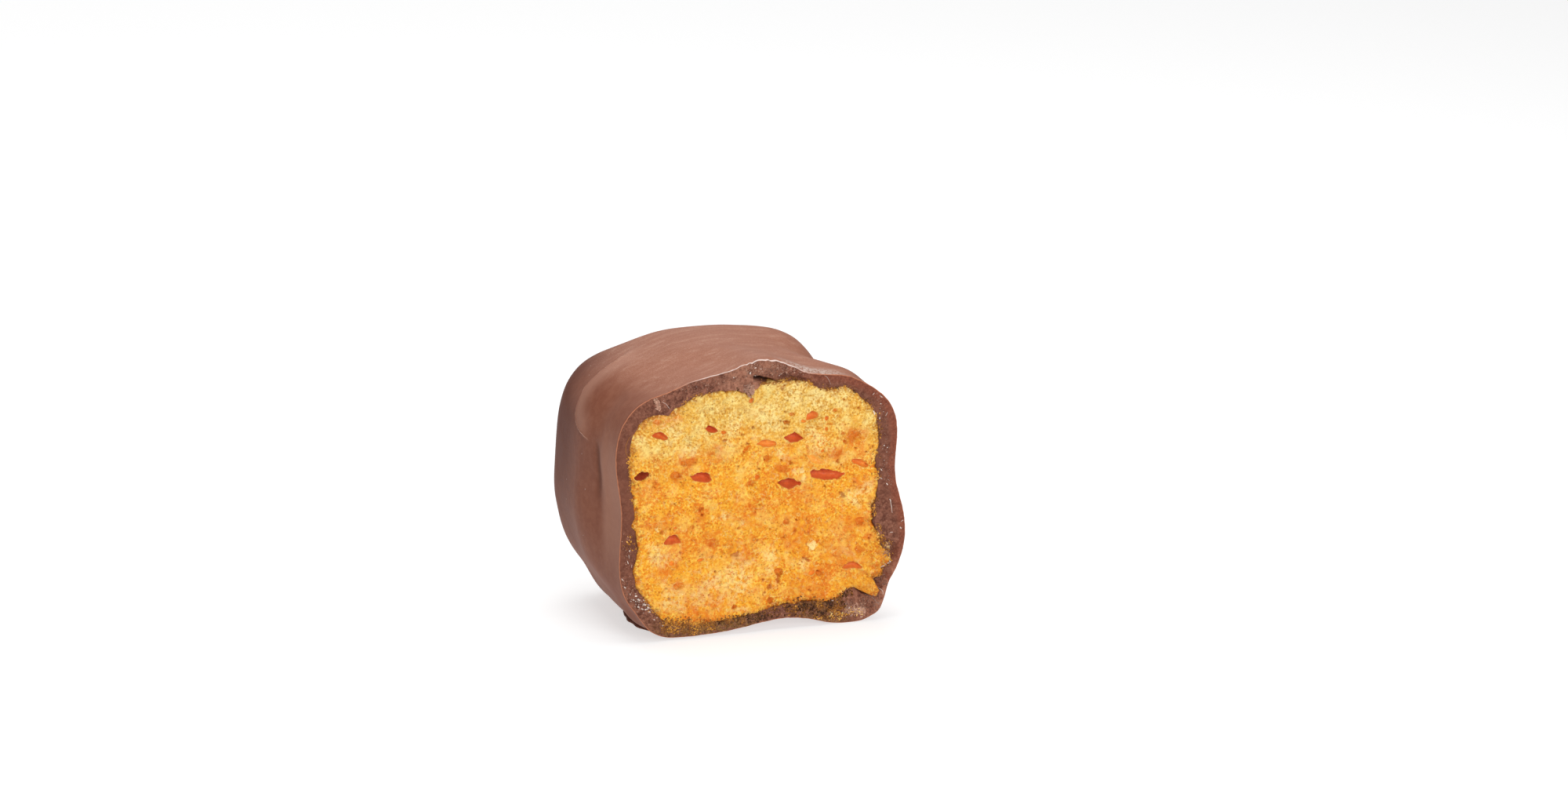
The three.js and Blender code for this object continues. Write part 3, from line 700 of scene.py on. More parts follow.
def off_line(angle, depth, line):
    """Distance in millimetres to a line drawn on the coat, and the share of the way along it."""
    nearest, way = np.full(len(angle), 99.0), np.zeros(len(angle))
    for k, ((a0, d0), (a1, d1)) in enumerate(zip(line, line[1:])):
        across, along = (a1 - a0) * DEGREE, d1 - d0
        u, v = (angle - a0) * DEGREE, depth - d0
        part = np.clip((u * across + v * along) / (across**2 + along**2), 0, 1)
        gap = np.hypot(u - part * across, v - part * along)
        way = np.where(gap < nearest, (k + part) / (len(line) - 1), way)
        nearest = np.minimum(nearest, gap)
    return nearest, way


def furrow_at(angle, depth, width, rise=1):
    """The furrow: its rise at a place, over a width in millimetres."""
    gap, way = off_line(angle, depth, FURROW)
    return rise * np.exp(-((gap / width) ** 2)) * ease(0, 0.25, way) * ease(1, 0.5, way)


def fold(angle, depth):
    """The crease: millimetres inwards from its line, and how clear it is there."""
    gap, way = off_line(angle, depth, CREASE)
    inside = (depth < np.interp(angle, *zip(*CREASE))) & (angle < 160.5)
    return np.where(inside, gap, -gap), ease(0, 0.25, way) * ease(1.0, 0.86, way)


def set_skin(point, angle, depth):
    """The fine form of the set coat: slow waves, the crease with the shelf inside it, and the furrow."""
    angle = angle % 360
    depth = depth + 0 * angle
    inwards, clear = fold(angle, depth)
    shelf = 0.34 * ease(-0.14, 0.1, inwards) * np.exp(-((np.maximum(inwards, 0) / 3.2) ** 2))
    lip = 0.09 * np.exp(-(((inwards - 0.12) / 0.18) ** 2))
    furrow = furrow_at(angle, depth, 0.7, -0.28)
    strip = 0.16 * np.exp(-(((depth - 3.9) / 0.9) ** 2)) * swell(angle, *LEFT_STRIP)
    waves = 0.1 * grain(point, 5, 51) + 0.03 * grain(point, 2.2, 52)
    return (shelf + lip) * clear + furrow + strip + lumpy(point, DIMPLES) + waves


def wall_point(angle, share):
    """A point of the wall's broken face, at a share of the way in from its outer edge."""
    share = np.reshape(share, (-1, 1)) + 0.0 * angle[:, None]
    outer, inner = coating_point(angle, 0), core_point(angle, 0)
    point = outer + (inner - outer) * share
    share = share[:, 0]
    edge = np.minimum(1, 6 * share * (1 - share))
    flat = point * (1, 0, 1)
    calm = 1 - 0.7 * swell(angle, *LEFT_WALL) - 0.5 * swell(angle, *RIGHT_WALL)
    fine = 0.18 * grain(flat, 2.1, 60) + (0.11 * grain(flat, 0.8, 61) + 0.07 * grain(flat, 0.35, 62)) * calm
    fine = fine + 0.045 * grain(flat, 0.18, 63) * calm
    fine = fine + 0.16 * grain(flat, 0.5, 66) * swell(angle, *CROWN_WALL)
    past_start = ease(SET_BACK_START - 0.2, SET_BACK_START + 0.12, share)
    set_back = SET_BACK_DEPTH * swell(angle, *SET_BACK) * past_start
    # the flake on the crown, its ragged edge, and the crevice under its left end
    ragged = 0.6 + 0.09 * grain(flat, 0.9, 64)
    flake = 0.6 * swell(angle, *FLAKE) * (1 - ease(-0.06, 0.06, share - ragged))
    crevice = 1.3 * np.exp(-((off_path(point, CREVICE) / 0.22) ** 2))
    groove = 0.5 * np.exp(-((off_path(point, CRACK) / 0.2) ** 2))
    bevel = 0.1 * ease(0.05, 0, share)
    point[:, 1] += fine * edge + set_back - flake + crevice + groove + bevel
    return point


# The open crevice under the flake, and the crack beside the crag: x, z along them
CREVICE = ((0.3, 33.35), (1.1, 33.2), (1.9, 32.95), (2.5, 32.7))
CRACK = ((14.3, 4.3), (14.85, 3.8), (15.6, 3.4), (16.2, 3.4))


def off_path(point, path):
    """Distance on the break to a path, in millimetres."""
    nearest = np.full(len(point), 99.0)
    for (x0, z0), (x1, z1) in zip(path, path[1:]):
        along, up = x1 - x0, z1 - z0
        u, v = point[:, 0] - x0, point[:, 2] - z0
        part = np.clip((u * along + v * up) / (along**2 + up**2), 0, 1)
        nearest = np.minimum(nearest, np.hypot(u - part * along, v - part * up))
    return nearest


def shell_rings():
    """The hollow, the broken wall from its inner edge out, the outside, and the back."""
    rings = hidden_rings()[::-1]
    hidden = sum(len(r) for r in rings)
    marks = {name: [np.full(hidden, fill)] for name, fill in MARKS.items()}
    angle = ring_of(WALL_POINTS)
    for share in np.linspace(1, 0, WALL_RINGS):
        point = wall_point(angle, share)
        thick = np.linalg.norm((coating_point(angle, 0) - core_point(angle, 0)) * (1, 0, 1), axis=1)
        rings.append(point)
        add_marks(marks, angle, share * thick, point)
    depths = [0.12, 0.28, 0.5, 0.8, *np.linspace(1.1, 14.5, 62), *np.linspace(15.1, DEPTH - BACK_EDGE, 9)]
    stations = [(depth, 0, 1) for depth in depths]
    for turn in np.linspace(0, math.pi / 2, BACK_EDGE_RINGS)[1:]:
        stations.append((DEPTH - BACK_EDGE * (1 - math.sin(turn)), BACK_EDGE * (1 - math.cos(turn)), 1))
    stations += [(DEPTH, BACK_EDGE, share) for share in np.linspace(1, 0, BACK_RINGS)[1:]]
    for depth, inset, share in stations:
        count = max(1, round(COAT_POINTS * share))
        angle = ring_of(count)
        rings.append(coating_point(angle, depth, inset, share))
        add_marks(marks, angle, np.full(count, -depth), rings[-1])
    return rings, {name: np.concatenate(values) for name, values in marks.items()}


WALL_RINGS, WALL_POINTS, COAT_POINTS, BACK_EDGE_RINGS, BACK_RINGS = 27, 1100, 520, 18, 26
# What the shell's points carry, with the value of a hidden point. rim counts millimetres inwards on
# the wall from its outer edge, and below zero backwards over the outside. Hidden points, and the foot,
# get half of the painted shade.
MARKS = {
    "rim": -20, "crease": -9, "clear": 0, "rim_highlight_whiteness": 0, "calm": 0, "dusty": 0, "ruddy": 0, "flaky": 0,
    "crumbled": 0, "dark": 0, "top_sheen_and_bloom": 0, "lighter": 0, "painted_shade": 0.5,
}


def add_marks(marks, angle, rim, point):
    """Adds the values of every mark at a ring of points."""
    turn, behind, on_wall = angle % 360, -np.minimum(rim, 0), rim > 0
    inwards, clear = fold(turn, behind)
    # The shelf inside the crease is painted lighter, as light that it catches.
    shelf = 0.95 * clear * ease(0, 0.3, inwards) * ease(3.5, 1, inwards)
    furrow = furrow_at(turn, behind, 0.5) * (rim < -2)
    # Painted shade in the crevice under the flake and in the crack beside the crag.
    crevice = np.maximum(ease(0.34, 0.12, off_path(point, CREVICE)), ease(0.26, 0.08, off_path(point, CRACK)))
    crumbled = np.maximum(swell(angle, *CRUMBLED_CROWN), swell(angle, *CRUMBLED_CORNER))
    # Painted shade: the coat is painted darker over the back of the left side, most at the upper left.
    shade_start = 13.2 - 4.4 * ease(146, 158, turn)
    painted_shade = ease(0, 8, -rim - shade_start) * ease(108, 144, turn)
    values = {
        "rim": rim,
        "crease": inwards,
        "clear": clear * ~on_wall,
        # where the painted highlight along the outer edge turns white, on the top
        "rim_highlight_whiteness": swell(angle, *WHITE_RIM_HIGHLIGHT),
        "calm": swell(angle, *LEFT_WALL) + 0.6 * swell(angle, *RIGHT_WALL),
        "dusty": swell(angle, *DUSTY_BASE) + 0.6 * swell(angle, *DUSTY_CORNER),
        "ruddy": swell(angle, *RUDDY_WALL) * ease(1.5, 0.5, rim + 0.3 * grain(point, 1.5, 65)),
        "flaky": swell(angle, *FLAKY_COAT) * ease(3.4, 1.0, -rim),
        "crumbled": crumbled * on_wall,
        # Painted shade: dark in the crevice and the crack, and half as dark along the furrow.
        "dark": np.maximum(crevice * on_wall, 0.5 * furrow),
        # The top is painted lighter where light falls on it: a painted sheen, with some bloom.
        "top_sheen_and_bloom": ease(0.6, 0.85, np.sin(np.radians(angle))) * ease(24, 19, -rim) * ~on_wall,
        # Painted highlight on the strip of the left side just behind the rim, and on the shelf of the crease.
        "lighter": np.maximum(swell(angle, *LEFT_PAINTED_HIGHLIGHT) * ease(5.4, 3.6, -rim), shelf) * ~on_wall,
        "painted_shade": painted_shade * ease(2, 26, point[:, 2]) * ease(-2, -17, point[:, 0]),
    }
    for name, value in values.items():
        marks[name].append(value)


# Colours of the chocolate as screens show them, darker and lighter
# The top's paler shades are mostly a painted sheen, with some bloom.
COAT, TOP_SHEEN_AND_BLOOM = ((129, 76, 57), (147, 95, 74)), ((158, 101, 78), (182, 130, 107))
WALL, CALM_WALL = ((92, 52, 40), (150, 98, 78)), ((96, 54, 41), (124, 75, 57))
RUDDY, DUSTY = ((120, 62, 46), (150, 82, 60)), ((88, 60, 28), (166, 124, 66))
# The rim's colours are a painted highlight along the break's outer edge.
RIM_HIGHLIGHT = (200, 128, 94), (244, 222, 212)
STREAK_TURN, STREAK_LENGTH = 16, 7


def coat_colour(place, streak, flaky):
    """The set coat, painted lighter on top as sheen with some bloom, with a painted highlight on the left,
    painted shade at the back left, a little dust and the light line of the crease.
    """
    top_sheen_and_bloom, crease = place.mark("top_sheen_and_bloom"), place.mark("crease")
    haze = streak.step(0.3, 0.75) * 0.5 + place.noise(0.18, 3, 0.75).step(0.3, 0.7) * 0.5
    bloom = (streak * place.noise(0.5, 3, 0.7)).step(0.27, 0.42)
    dust, dusted = place.noise(0.11, 2, 0.7), top_sheen_and_bloom * 0.9 + 0.1
    line = crease.step(-0.12, -0.02) * crease.step(0.16, 0.05)
    line = line * place.mark("clear") * place.noise(0.5, 3).step(0.25, 0.5)
    return layered(
        (streak.step(0.36, 0.68) * 0.45 + place.noise(6, 2).step(0.3, 0.7) * 0.35).shades(*COAT),
        # the top, painted lighter as sheen and partly as bloom
        (top_sheen_and_bloom * 0.8, haze.shades(*TOP_SHEEN_AND_BLOOM)),
        # painted highlight on the left strip behind the rim and on the crease's shelf
        (place.mark("lighter") * 0.44, paint(186, 138, 117)),
        # painted shade over the back of the left side
        (place.mark("painted_shade") * 0.66, paint(78, 27, 9)),
        (bloom * top_sheen_and_bloom * 0.25, paint(200, 164, 144)),
        (flaky * 0.95, paint(210, 186, 174)),
        (dust.step(0.52, 0.74) * dusted * 0.36, paint(216, 178, 160)),
        (dust.step(0.46, 0.28) * dusted * 0.3, paint(112, 62, 46)),
        (place.cells(2.4).step(0.035, 0.015) * 0.6, paint(230, 214, 202)),
        (line * 0.8, paint(216, 166, 138)),
    )


def wall_colour(place, calm):
    """The broken wall: crumbly, calmer down the sides, ruddy at the right and dusty along the base."""
    crumbled = place.mark("crumbled") * place.noise(0.9, 4, 0.7).step(0.35, 0.6)
    dusty = place.mark("dusty") * place.noise(0.5, 3, 0.65).step(0.34, 0.56)
    grit, rough_wall = place.noise(0.26, 3, 0.7), 1 - calm * 0.75
    return layered(
        place.noise(0.75, 4, 0.72).step(0.34, 0.66).shades(*WALL),
        (calm * 0.8, place.noise(2.2, 3).step(0.3, 0.7).shades(*CALM_WALL)),
        (place.mark("ruddy") * 0.7, place.noise(0.3, 3).step(0.3, 0.7).shades(*RUDDY)),
        (crumbled * 0.6, paint(190, 134, 108)),
        (grit.step(0.54, 0.68) * rough_wall * 0.45, paint(184, 136, 112)),
        (grit.step(0.46, 0.34) * rough_wall * 0.4, paint(66, 36, 28)),
        (dusty * 0.75, place.noise(0.4, 4, 0.7).step(0.38, 0.64).shades(*DUSTY)),
    )


def chocolate_finish():
    """Satin coat outside, dull grainy chocolate on the break, a painted highlight as a thin light line
    between them, and painted shade in the crevices.
    """
    material, place = new_finish("milk_chocolate")
    flow = place.add("Mapping", {"vector_type": "TEXTURE"}, {
        "Vector": place, "Rotation": [0, 0, math.radians(STREAK_TURN)], "Scale": [STREAK_LENGTH, 1, 1],
    })
    streak, rim, calm = flow.noise(0.9, 4, 0.62), place.mark("rim"), place.mark("calm")
    flaky = place.mark("flaky") * place.noise(0.34, 4, 0.7).step(0.42, 0.54)
    wall = rim.step(-0.02, 0.02)
    # The thin light line along the break's outer edge is a painted highlight.
    uneven = place.noise(0.8, 3, 0.6) * 0.1
    line = (rim + uneven).step(0.16, 0.08) * (rim - uneven).step(-0.16, -0.06)
    colour = layered(
        wall.tint(coat_colour(place, streak, flaky), wall_colour(place, calm)),
        # painted highlight along the outer edge, whitest on top
        (line * 0.9, place.mark("rim_highlight_whiteness").shades(*RIM_HIGHLIGHT)),
        # painted shade in the crevice, the crack and the furrow
        (place.mark("dark") * 0.8, paint(44, 24, 20)),
    )
    ripple = streak * 0.5 + place.noise(0.5, 3, 0.6) * 0.1 + flaky * 0.8
    crumble = place.noise(0.2, 3, 0.7) * (1.3 - calm * 0.9)
    relief = ripple * (1 - wall) + crumble * wall
    bump = relief.add("Bump", {}, {"Height": relief, "Strength": 0.6, "Distance": GRAIN_DEPTH})
    rough = 0.5 + streak * 0.1 + wall * 0.1 + flaky * 0.15
    surface(place, {
        "Base Color": colour, "Roughness": rough, "Normal": bump, "IOR": 1.46, "Specular IOR Level": 0.12,
    })
    return material


rings, marks = shell_rings()
shell = skin("chocolate_coating", rings, marks)
shell.data.materials.append(chocolate_finish())
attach(shell, "root")
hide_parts("chocolate_shell")

# Foot
# The thin pad of chocolate that ran down and pooled under the piece while it set. Its rounded, slightly
# uneven edge peeps out at the lower left, in the shadow of the coat, and hides under the piece elsewhere.
FOOT_CENTRE, FOOT_HALF_WIDTH, FOOT_HALF_DEPTH = (-6, -3.2), 7.7, 8.7
FOOT_SQUARENESS, FOOT_THICKNESS = 2.2, 0.45
RIGHT_HALF_WIDTH, RIGHT_HALF_DEPTH = 16.5, 5.3  # the right half, which hides under the piece
FOOT_POINTS = 260
# From its top in and round its edge: share of the thickness, and how far out
FOOT_PROFILE = (
    (1, -6), (1, -3), (1, -1.2), (0.99, -0.5), (0.93, -0.2), (0.8, 0), (0.6, 0.12), (0.4, 0.15),
    (0.2, 0.08), (0, -0.1),
)


def foot_ring(height, outset):
    """Points round the foot at a height."""
    angle = ring_of(FOOT_POINTS)
    cos, sin = np.cos(np.radians(angle)), np.sin(np.radians(angle))
    to_right = ease(-0.15, 0.55, cos)
    half_width = FOOT_HALF_WIDTH + (RIGHT_HALF_WIDTH - FOOT_HALF_WIDTH) * to_right
    half_depth = FOOT_HALF_DEPTH + (RIGHT_HALF_DEPTH - FOOT_HALF_DEPTH) * to_right
    radius = np.abs(cos / half_width) ** FOOT_SQUARENESS + np.abs(sin / half_depth) ** FOOT_SQUARENESS
    radius = radius ** (-1 / FOOT_SQUARENESS) + outset
    uneven = 0.18 * grain(np.stack([cos * 14, sin * 14, 0 * cos], 1), 2.5, 70)
    radius = radius + uneven
    return np.stack([FOOT_CENTRE[0] + cos * radius, FOOT_CENTRE[1] + sin * radius, 0 * cos + height], 1)


foot_rings = [np.array([[*FOOT_CENTRE, FOOT_THICKNESS]])]
foot_rings += [foot_ring(FOOT_THICKNESS * share, outset) for share, outset in FOOT_PROFILE]
foot_rings.append(np.array([[*FOOT_CENTRE, 0.0]]))
foot_points = sum(len(ring) for ring in foot_rings)
# The foot carries the marks of a hidden point, so half of the painted shade darkens it.
foot = skin("chocolate_foot", foot_rings, {mark: [fill] * foot_points for mark, fill in MARKS.items()})
foot.data.materials.append(shell.data.materials[0])
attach(foot, "root")

# Toffee crumbs
# Grains and chips of toffee that broke off and stuck to the chocolate of the break, from gold to almost
# black. They lie along the bottom edge, at the lower right corner, round the crag and along the join.
CUBE = np.array(list(itertools.product((-1, 1), repeat=3)))
SIDES = ((0, 1, 3, 2), (4, 6, 7, 5), (0, 4, 5, 1), (2, 3, 7, 6), (0, 2, 6, 4), (1, 5, 7, 3))
RIM_CLEARANCE, THREAD_STEP, THREAD_SIDES = 0.2, 0.13, 6
# Bands of crumbs: how many, start, end, width, sizes, tones from 0 dark to 1 pale
CRUMB_BANDS = (
    (380, (-12.0, 2.3), (-5.0, 1.5), 1.1, (0.1, 0.26), (0.28, 0.66)),
    (160, (-12.4, 1.5), (-7.5, 0.8), 0.6, (0.08, 0.22), (0.3, 0.74)),
    (260, (-5.0, 1.9), (3.5, 1.8), 0.9, (0.08, 0.24), (0, 0.5)),
    (460, (4.2, 2.7), (12.4, 2.2), 1.4, (0.1, 0.3), (0, 0.6)),
    (120, (8.0, 1.2), (12.0, 0.9), 0.7, (0.08, 0.22), (0.2, 0.95)),
    (80, (12.2, 1.5), (14.8, 1.3), 0.8, (0.08, 0.2), (0.4, 0.95)),
    (110, (11.6, 3.6), (13.6, 4.0), 0.8, (0.08, 0.22), (0, 0.55)),
    (90, (16.7, 12.4), (17.6, 9.6), 0.8, (0.08, 0.26), (0.2, 0.9)),
    (90, (18.0, 10.2), (18.6, 8.2), 0.8, (0.08, 0.24), (0.3, 0.95)),
    (40, (-16.6, 14.4), (-16.2, 12.2), 0.9, (0.08, 0.24), (0.2, 0.8)),
    (30, (-15.6, 25.8), (-15.2, 20.5), 0.4, (0.06, 0.14), (0.3, 0.8)),
    (90, (1.2, 32.5), (5.3, 32.9), 0.35, (0.08, 0.2), (0.2, 0.6)),
    (40, (15.9, 23.0), (15.8, 18.0), 0.5, (0.08, 0.2), (0.3, 0.9)),
    (4, (7.7, 10.7), (7.95, 11.2), 0.15, (0.8, 1.0), (0.85, 1)),
    (4, (6.4, 20.5), (6.6, 21.0), 0.3, (0.4, 0.6), (0.85, 1)),
)
# Crumbs along the line where toffee meets chocolate: how many, first and last angle, sizes, tones
EDGE_CRUMBS = (
    (150, -50, 30, (0.08, 0.26), (0.15, 0.75)), (170, 30, 110, (0.08, 0.24), (0.1, 0.7)),
    (110, 110, 180, (0.08, 0.22), (0.15, 0.75)), (90, 180, 250, (0.08, 0.22), (0.15, 0.7)),
    (200, 250, 310, (0.08, 0.26), (0.1, 0.5)), (80, -46, -26, (0.08, 0.26), (0.1, 0.6)),
)
# Thin raised lines of toffee: width, tone, then x, z along them
TOFFEE_THREADS = (
    (
        0.12, 0.4, (-15.75, 27.4), (-16.35, 26.95), (-16.8, 26.0), (-16.8, 25.0), (-16.35, 24.2),
        (-15.9, 23.95),
    ),
    (0.13, 0.5, (16.5, 12.85), (16.95, 12.8), (17.26, 12.4), (17.15, 12.0)),
    (0.13, 0.5, (18.24, 10.66), (18.6, 10.2), (18.88, 9.76), (18.83, 9.3)),
    (0.22, 0.72, (5.7, 25.75), (6.25, 25.5), (6.8, 24.95)), (0.2, 0.74, (-11.7, 27.3), (-11.1, 26.7)),
    (0.24, 0.72, (7.9, 22.6), (8.7, 22.15), (9.6, 21.4)),
    (0.22, 0.74, (14.6, 21.45), (15.0, 21.25), (15.9, 20.5)),
)


def on_break(x, z):
    """y of the broken face, toffee or chocolate, at places of the break."""
    middle = np.array(BREAK_SECTION[0])
    angle = np.degrees(np.arctan2(z - middle[1], x - middle[0]))
    out = np.hypot(x - middle[0], z - middle[1])
    edges = coating_point(angle, 0), core_point(angle, 0)
    rim, inner = (np.hypot(*(edge[:, (0, 2)] - middle).T) for edge in edges)
    share = np.clip((rim - out) / (rim - inner), 0, 1)
    toffee = BREAK_Y + break_relief(x, z) + sponge(x, z)[0] - CRAG_PROUD * ease(0, 1, crag_at(angle))
    return np.where(out < inner + crag_at(angle), toffee, wall_point(angle, share)[:, 1])


def chip(place, half_sizes, turn, tone, chance):
    """An angular chip stuck on the break: its corners, sides and tone."""
    corners = CUBE * chance.uniform(0.25, 1, (8, 3)) * half_sizes
    return place + corners @ turn, SIDES, tone


def held(places):
    """Which places of the break, x and z, lie far enough inside its outer edge to hold a chip."""
    out = places - BREAK_SECTION[0]
    rim = coating_point(np.degrees(np.arctan2(out[:, 1], out[:, 0])), 0)[:, (0, 2)] - BREAK_SECTION[0]
    return np.hypot(*out.T) < np.hypot(*rim.T) - RIM_CLEARANCE


def scatter(places, sizes, tones, chance):
    """Tumbled chips lying at places of the break, lighter and darker in clusters."""
    places = places[held(places)]
    y = on_break(places[:, 0], places[:, 1])
    places = np.stack([places[:, 0], y, places[:, 1]], 1)
    shades = np.clip(0.5 + 0.6 * grain(places, 0.8, 80) + chance.normal(0, 0.18, len(places)), 0, 1)
    for place, shade in zip(places, shades):
        long = chance.uniform(*sizes)
        tumbled = np.linalg.qr(chance.normal(size=(3, 3)))[0]
        tumbled *= np.sign(np.linalg.det(tumbled))
        half_sizes = (0.75 * long, 0.55 * long, 0.4 * long)
        yield chip(place, half_sizes, tumbled, tones[0] + (tones[1] - tones[0]) * shade, chance)


def strewn(bands, chance):
    """Chips at random along bands of the break."""
    bits = []
    for count, start, end, width, sizes, tones in bands:
        line = np.subtract(end, start)
        aside = np.array([-line[1], line[0]]) / np.hypot(*line)
        places = start + chance.random((count, 1)) * line + chance.normal(0, width / 2.6, (count, 1)) * aside
        bits += scatter(places, sizes, tones, chance)
    return bits


def round_edge(stretches, chance):
    """Chips in clusters along the line where toffee meets chocolate."""
    bits = []
    for count, first, last, sizes, tones in stretches:
        clusters = chance.uniform(first, last, max(2, count // 12))
        angle = chance.choice(clusters, count) + chance.normal(0, 1.6, count)
        edge = core_point(angle, 0, reach=crag_at(angle))[:, (0, 2)]
        out = edge - BREAK_SECTION[0]
        out /= np.hypot(*out.T)[:, None]
        bits += scatter(edge + out * chance.normal(0.12, 0.16, (count, 1)), sizes, tones, chance)
    return bits


def thread(width, tone, *path):
    """A thin raised line along a path on the break, running out at both ends."""
    path = np.array(path)
    way = np.concatenate([[0], np.cumsum(np.hypot(*np.diff(path, axis=0).T))])
    at = np.linspace(0, way[-1], max(5, round(way[-1] / THREAD_STEP)))
    x, z = np.interp(at, way, path[:, 0]), np.interp(at, way, path[:, 1])
    middle = np.stack([x, on_break(x, z), z], 1)
    along = np.gradient(middle, axis=0)
    side = np.cross(along, (0, 1, 0))
    side /= np.linalg.norm(side, axis=1)[:, None]
    thick = 0.36 * width * np.sin(np.pi * np.linspace(0.05, 0.95, len(at)))[:, None] ** 0.5
    turns = [2 * math.pi * k / THREAD_SIDES for k in range(THREAD_SIDES)]
    corners = [middle + thick * (math.cos(t) * side + math.sin(t) * np.array([0, 1, 0])) for t in turns]
    starts = [k * len(at) for k in range(THREAD_SIDES)]
    last = len(at) - 1
    sides = [
        [near + i, near + i + 1, far + i + 1, far + i]
        for near, far in zip(starts, starts[1:] + starts[:1]) for i in range(last)
    ]
    sides += [starts, [start + last for start in reversed(starts)]]
    return np.concatenate(corners), sides, tone


def joined(name, bits):
    """One mesh of many small closed bits, which carries the tone of each."""
    corners, sides, tones = [], [], []
    for places, faces, tone in bits:
        sides += [[len(tones) + i for i in face] for face in faces]
        corners += (places * MM).tolist()
        tones += [tone] * len(places)
    mesh = bpy.data.meshes.new(name)
    mesh.from_pydata(corners, [], sides)
    mesh.attributes.new("tone", "FLOAT", "POINT").data.foreach_set("value", np.array(tones, np.float32))
    return placed(name, mesh)


def crumb_finish():
    """Dull toffee, from almost black over gold to cream."""
    material, place = new_finish("toffee_crumb")
    tone = place.mark("tone")
    colour = tone.step(0, 0.5).shades((64, 36, 18), (160, 102, 44))
    colour = tone.step(0.4, 0.75).tint(colour, paint(232, 168, 66))
    colour = tone.step(0.72, 1).tint(colour, paint(252, 224, 152))
    surface(place, {"Base Color": colour, "Roughness": 0.55, "Specular IOR Level": 0.25})
    return material


chance = np.random.default_rng(11)
crumb_bits = strewn(CRUMB_BANDS, chance) + [thread(*line) for line in TOFFEE_THREADS]
crumbs = joined("toffee_crumbs", crumb_bits + round_edge(EDGE_CRUMBS, chance))
crumbs.data.materials.append(crumb_finish())
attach(crumbs, "root")

# Sugar flecks
# Clear and white slivers of burnt sugar that the break pulled out of the toffee. They lie flat on the
# chocolate wall, most of them down the right side, and in a glassy cluster at the lower left.
# The larger ones: x, z, length, width, tilt
FLECKS = (
    (16.2, 27.5, 0.75, 0.16, -72), (17.9, 27.2, 0.6, 0.12, 60), (17.1, 28.6, 0.25, 0.18, 20),
    (17.2, 29.5, 0.4, 0.2, -40), (16.1, 30.0, 0.5, 0.12, 50), (17.6, 23.1, 0.22, 0.16, 0),
    (18.0, 22.8, 0.2, 0.14, 40), (17.2, 19.95, 0.4, 0.16, -55), (17.2, 18.8, 0.5, 0.14, -35),
    (18.0, 18.0, 0.42, 0.17, -62), (18.5, 15.8, 0.6, 0.12, -60), (20.1, 12.9, 0.4, 0.14, 40),
    (19.9, 12.0, 0.4, 0.2, -50), (18.55, 11.55, 0.5, 0.16, 0), (18.05, 7.25, 0.5, 0.2, 30),
    (18.45, 7.7, 0.45, 0.22, -30), (17.35, 7.15, 0.6, 0.2, 20), (17.0, 26.7, 0.3, 0.14, 80),
    (-17.6, 14.4, 0.25, 0.2, 0), (-16.4, 12.3, 0.3, 0.16, 60), (-16.5, 11.5, 0.7, 0.12, -85),
    (-16.7, 10.8, 0.5, 0.12, -70), (-16.2, 10.3, 0.4, 0.1, 80), (-17.4, 8.6, 0.5, 0.1, -50),
    (-17.1, 7.55, 0.45, 0.22, -30), (-16.4, 6.6, 0.4, 0.14, -60), (-15.7, 6.3, 0.35, 0.25, 0),
    (-15.3, 5.8, 0.5, 0.24, -30), (-14.6, 5.1, 0.7, 0.36, -20), (-15.4, 4.9, 0.35, 0.24, -20),
    (-14.9, 4.55, 0.4, 0.22, -30), (-14.1, 4.65, 0.4, 0.24, -40), (-13.85, 4.05, 0.35, 0.2, -40),
    (-15.95, 5.8, 0.4, 0.2, -60), (-14.4, 4.45, 0.3, 0.2, 10), (-13.3, 3.0, 0.35, 0.18, -30),
    (-12.9, 3.2, 0.3, 0.16, 0), (-12.2, 2.1, 0.3, 0.16, 20), (8.1, 33.9, 0.5, 0.2, -40),
    (8.4, 33.6, 0.4, 0.18, -50), (7.75, 33.75, 0.35, 0.2, 50), (13.0, 1.95, 0.4, 0.2, 20),
    (14.6, 1.5, 0.3, 0.22, 0), (10.6, 3.2, 0.35, 0.2, 0), (-0.4, 34.0, 0.4, 0.2, 70),
    (0.2, 34.7, 0.4, 0.16, 20), (0.8, 34.6, 0.35, 0.16, -10), (0.3, 33.55, 0.5, 0.14, -20),
    (3.8, 33.6, 0.4, 0.12, 50), (3.5, 33.35, 0.35, 0.12, 40), (-2.6, 33.6, 0.3, 0.14, -40),
)
# Bands of small ones, like the bands of crumbs
FLECK_BANDS = (
    (30, (12.6, 1.5), (14.8, 1.4), 1.0, (0.08, 0.2), (0, 0.7)),
    (24, (16.4, 30.2), (17.9, 27.0), 0.9, (0.05, 0.13), (0, 0.6)),
    (26, (17.4, 24.0), (17.6, 18.5), 1.0, (0.05, 0.12), (0, 0.5)),
    (46, (-16.3, 6.2), (-13.7, 4.2), 0.8, (0.07, 0.2), (0, 0.7)),
    (14, (17.2, 7.0), (18.6, 7.6), 0.4, (0.1, 0.22), (0.2, 0.85)),
    (14, (-15.2, 31.6), (-3.0, 33.8), 0.9, (0.05, 0.1), (0.2, 0.7)),
)
# Threads of sugar, like those of toffee
SUGAR_THREADS = (
    (0.12, 0.8, (18.47, 15.8), (18.68, 15.1), (18.8, 14.05)),
    (0.12, 0.7, (17.0, 4.17), (17.42, 3.92), (17.6, 3.55), (17.55, 3.3)),
    (0.1, 0.4, (15.3, 3.3), (15.9, 3.12), (16.45, 2.75), (17.0, 1.95)),
    (0.1, 0.35, (9.5, 32.9), (9.85, 32.7), (10.2, 32.15), (10.4, 31.6)),
    (0.1, 0.5, (-12.1, 31.3), (-11.5, 30.9), (-11.0, 30.2)),
    (0.1, 0.5, (-1.25, 32.4), (-0.8, 32.5), (-0.5, 32.2), (0.0, 32.05)),
)


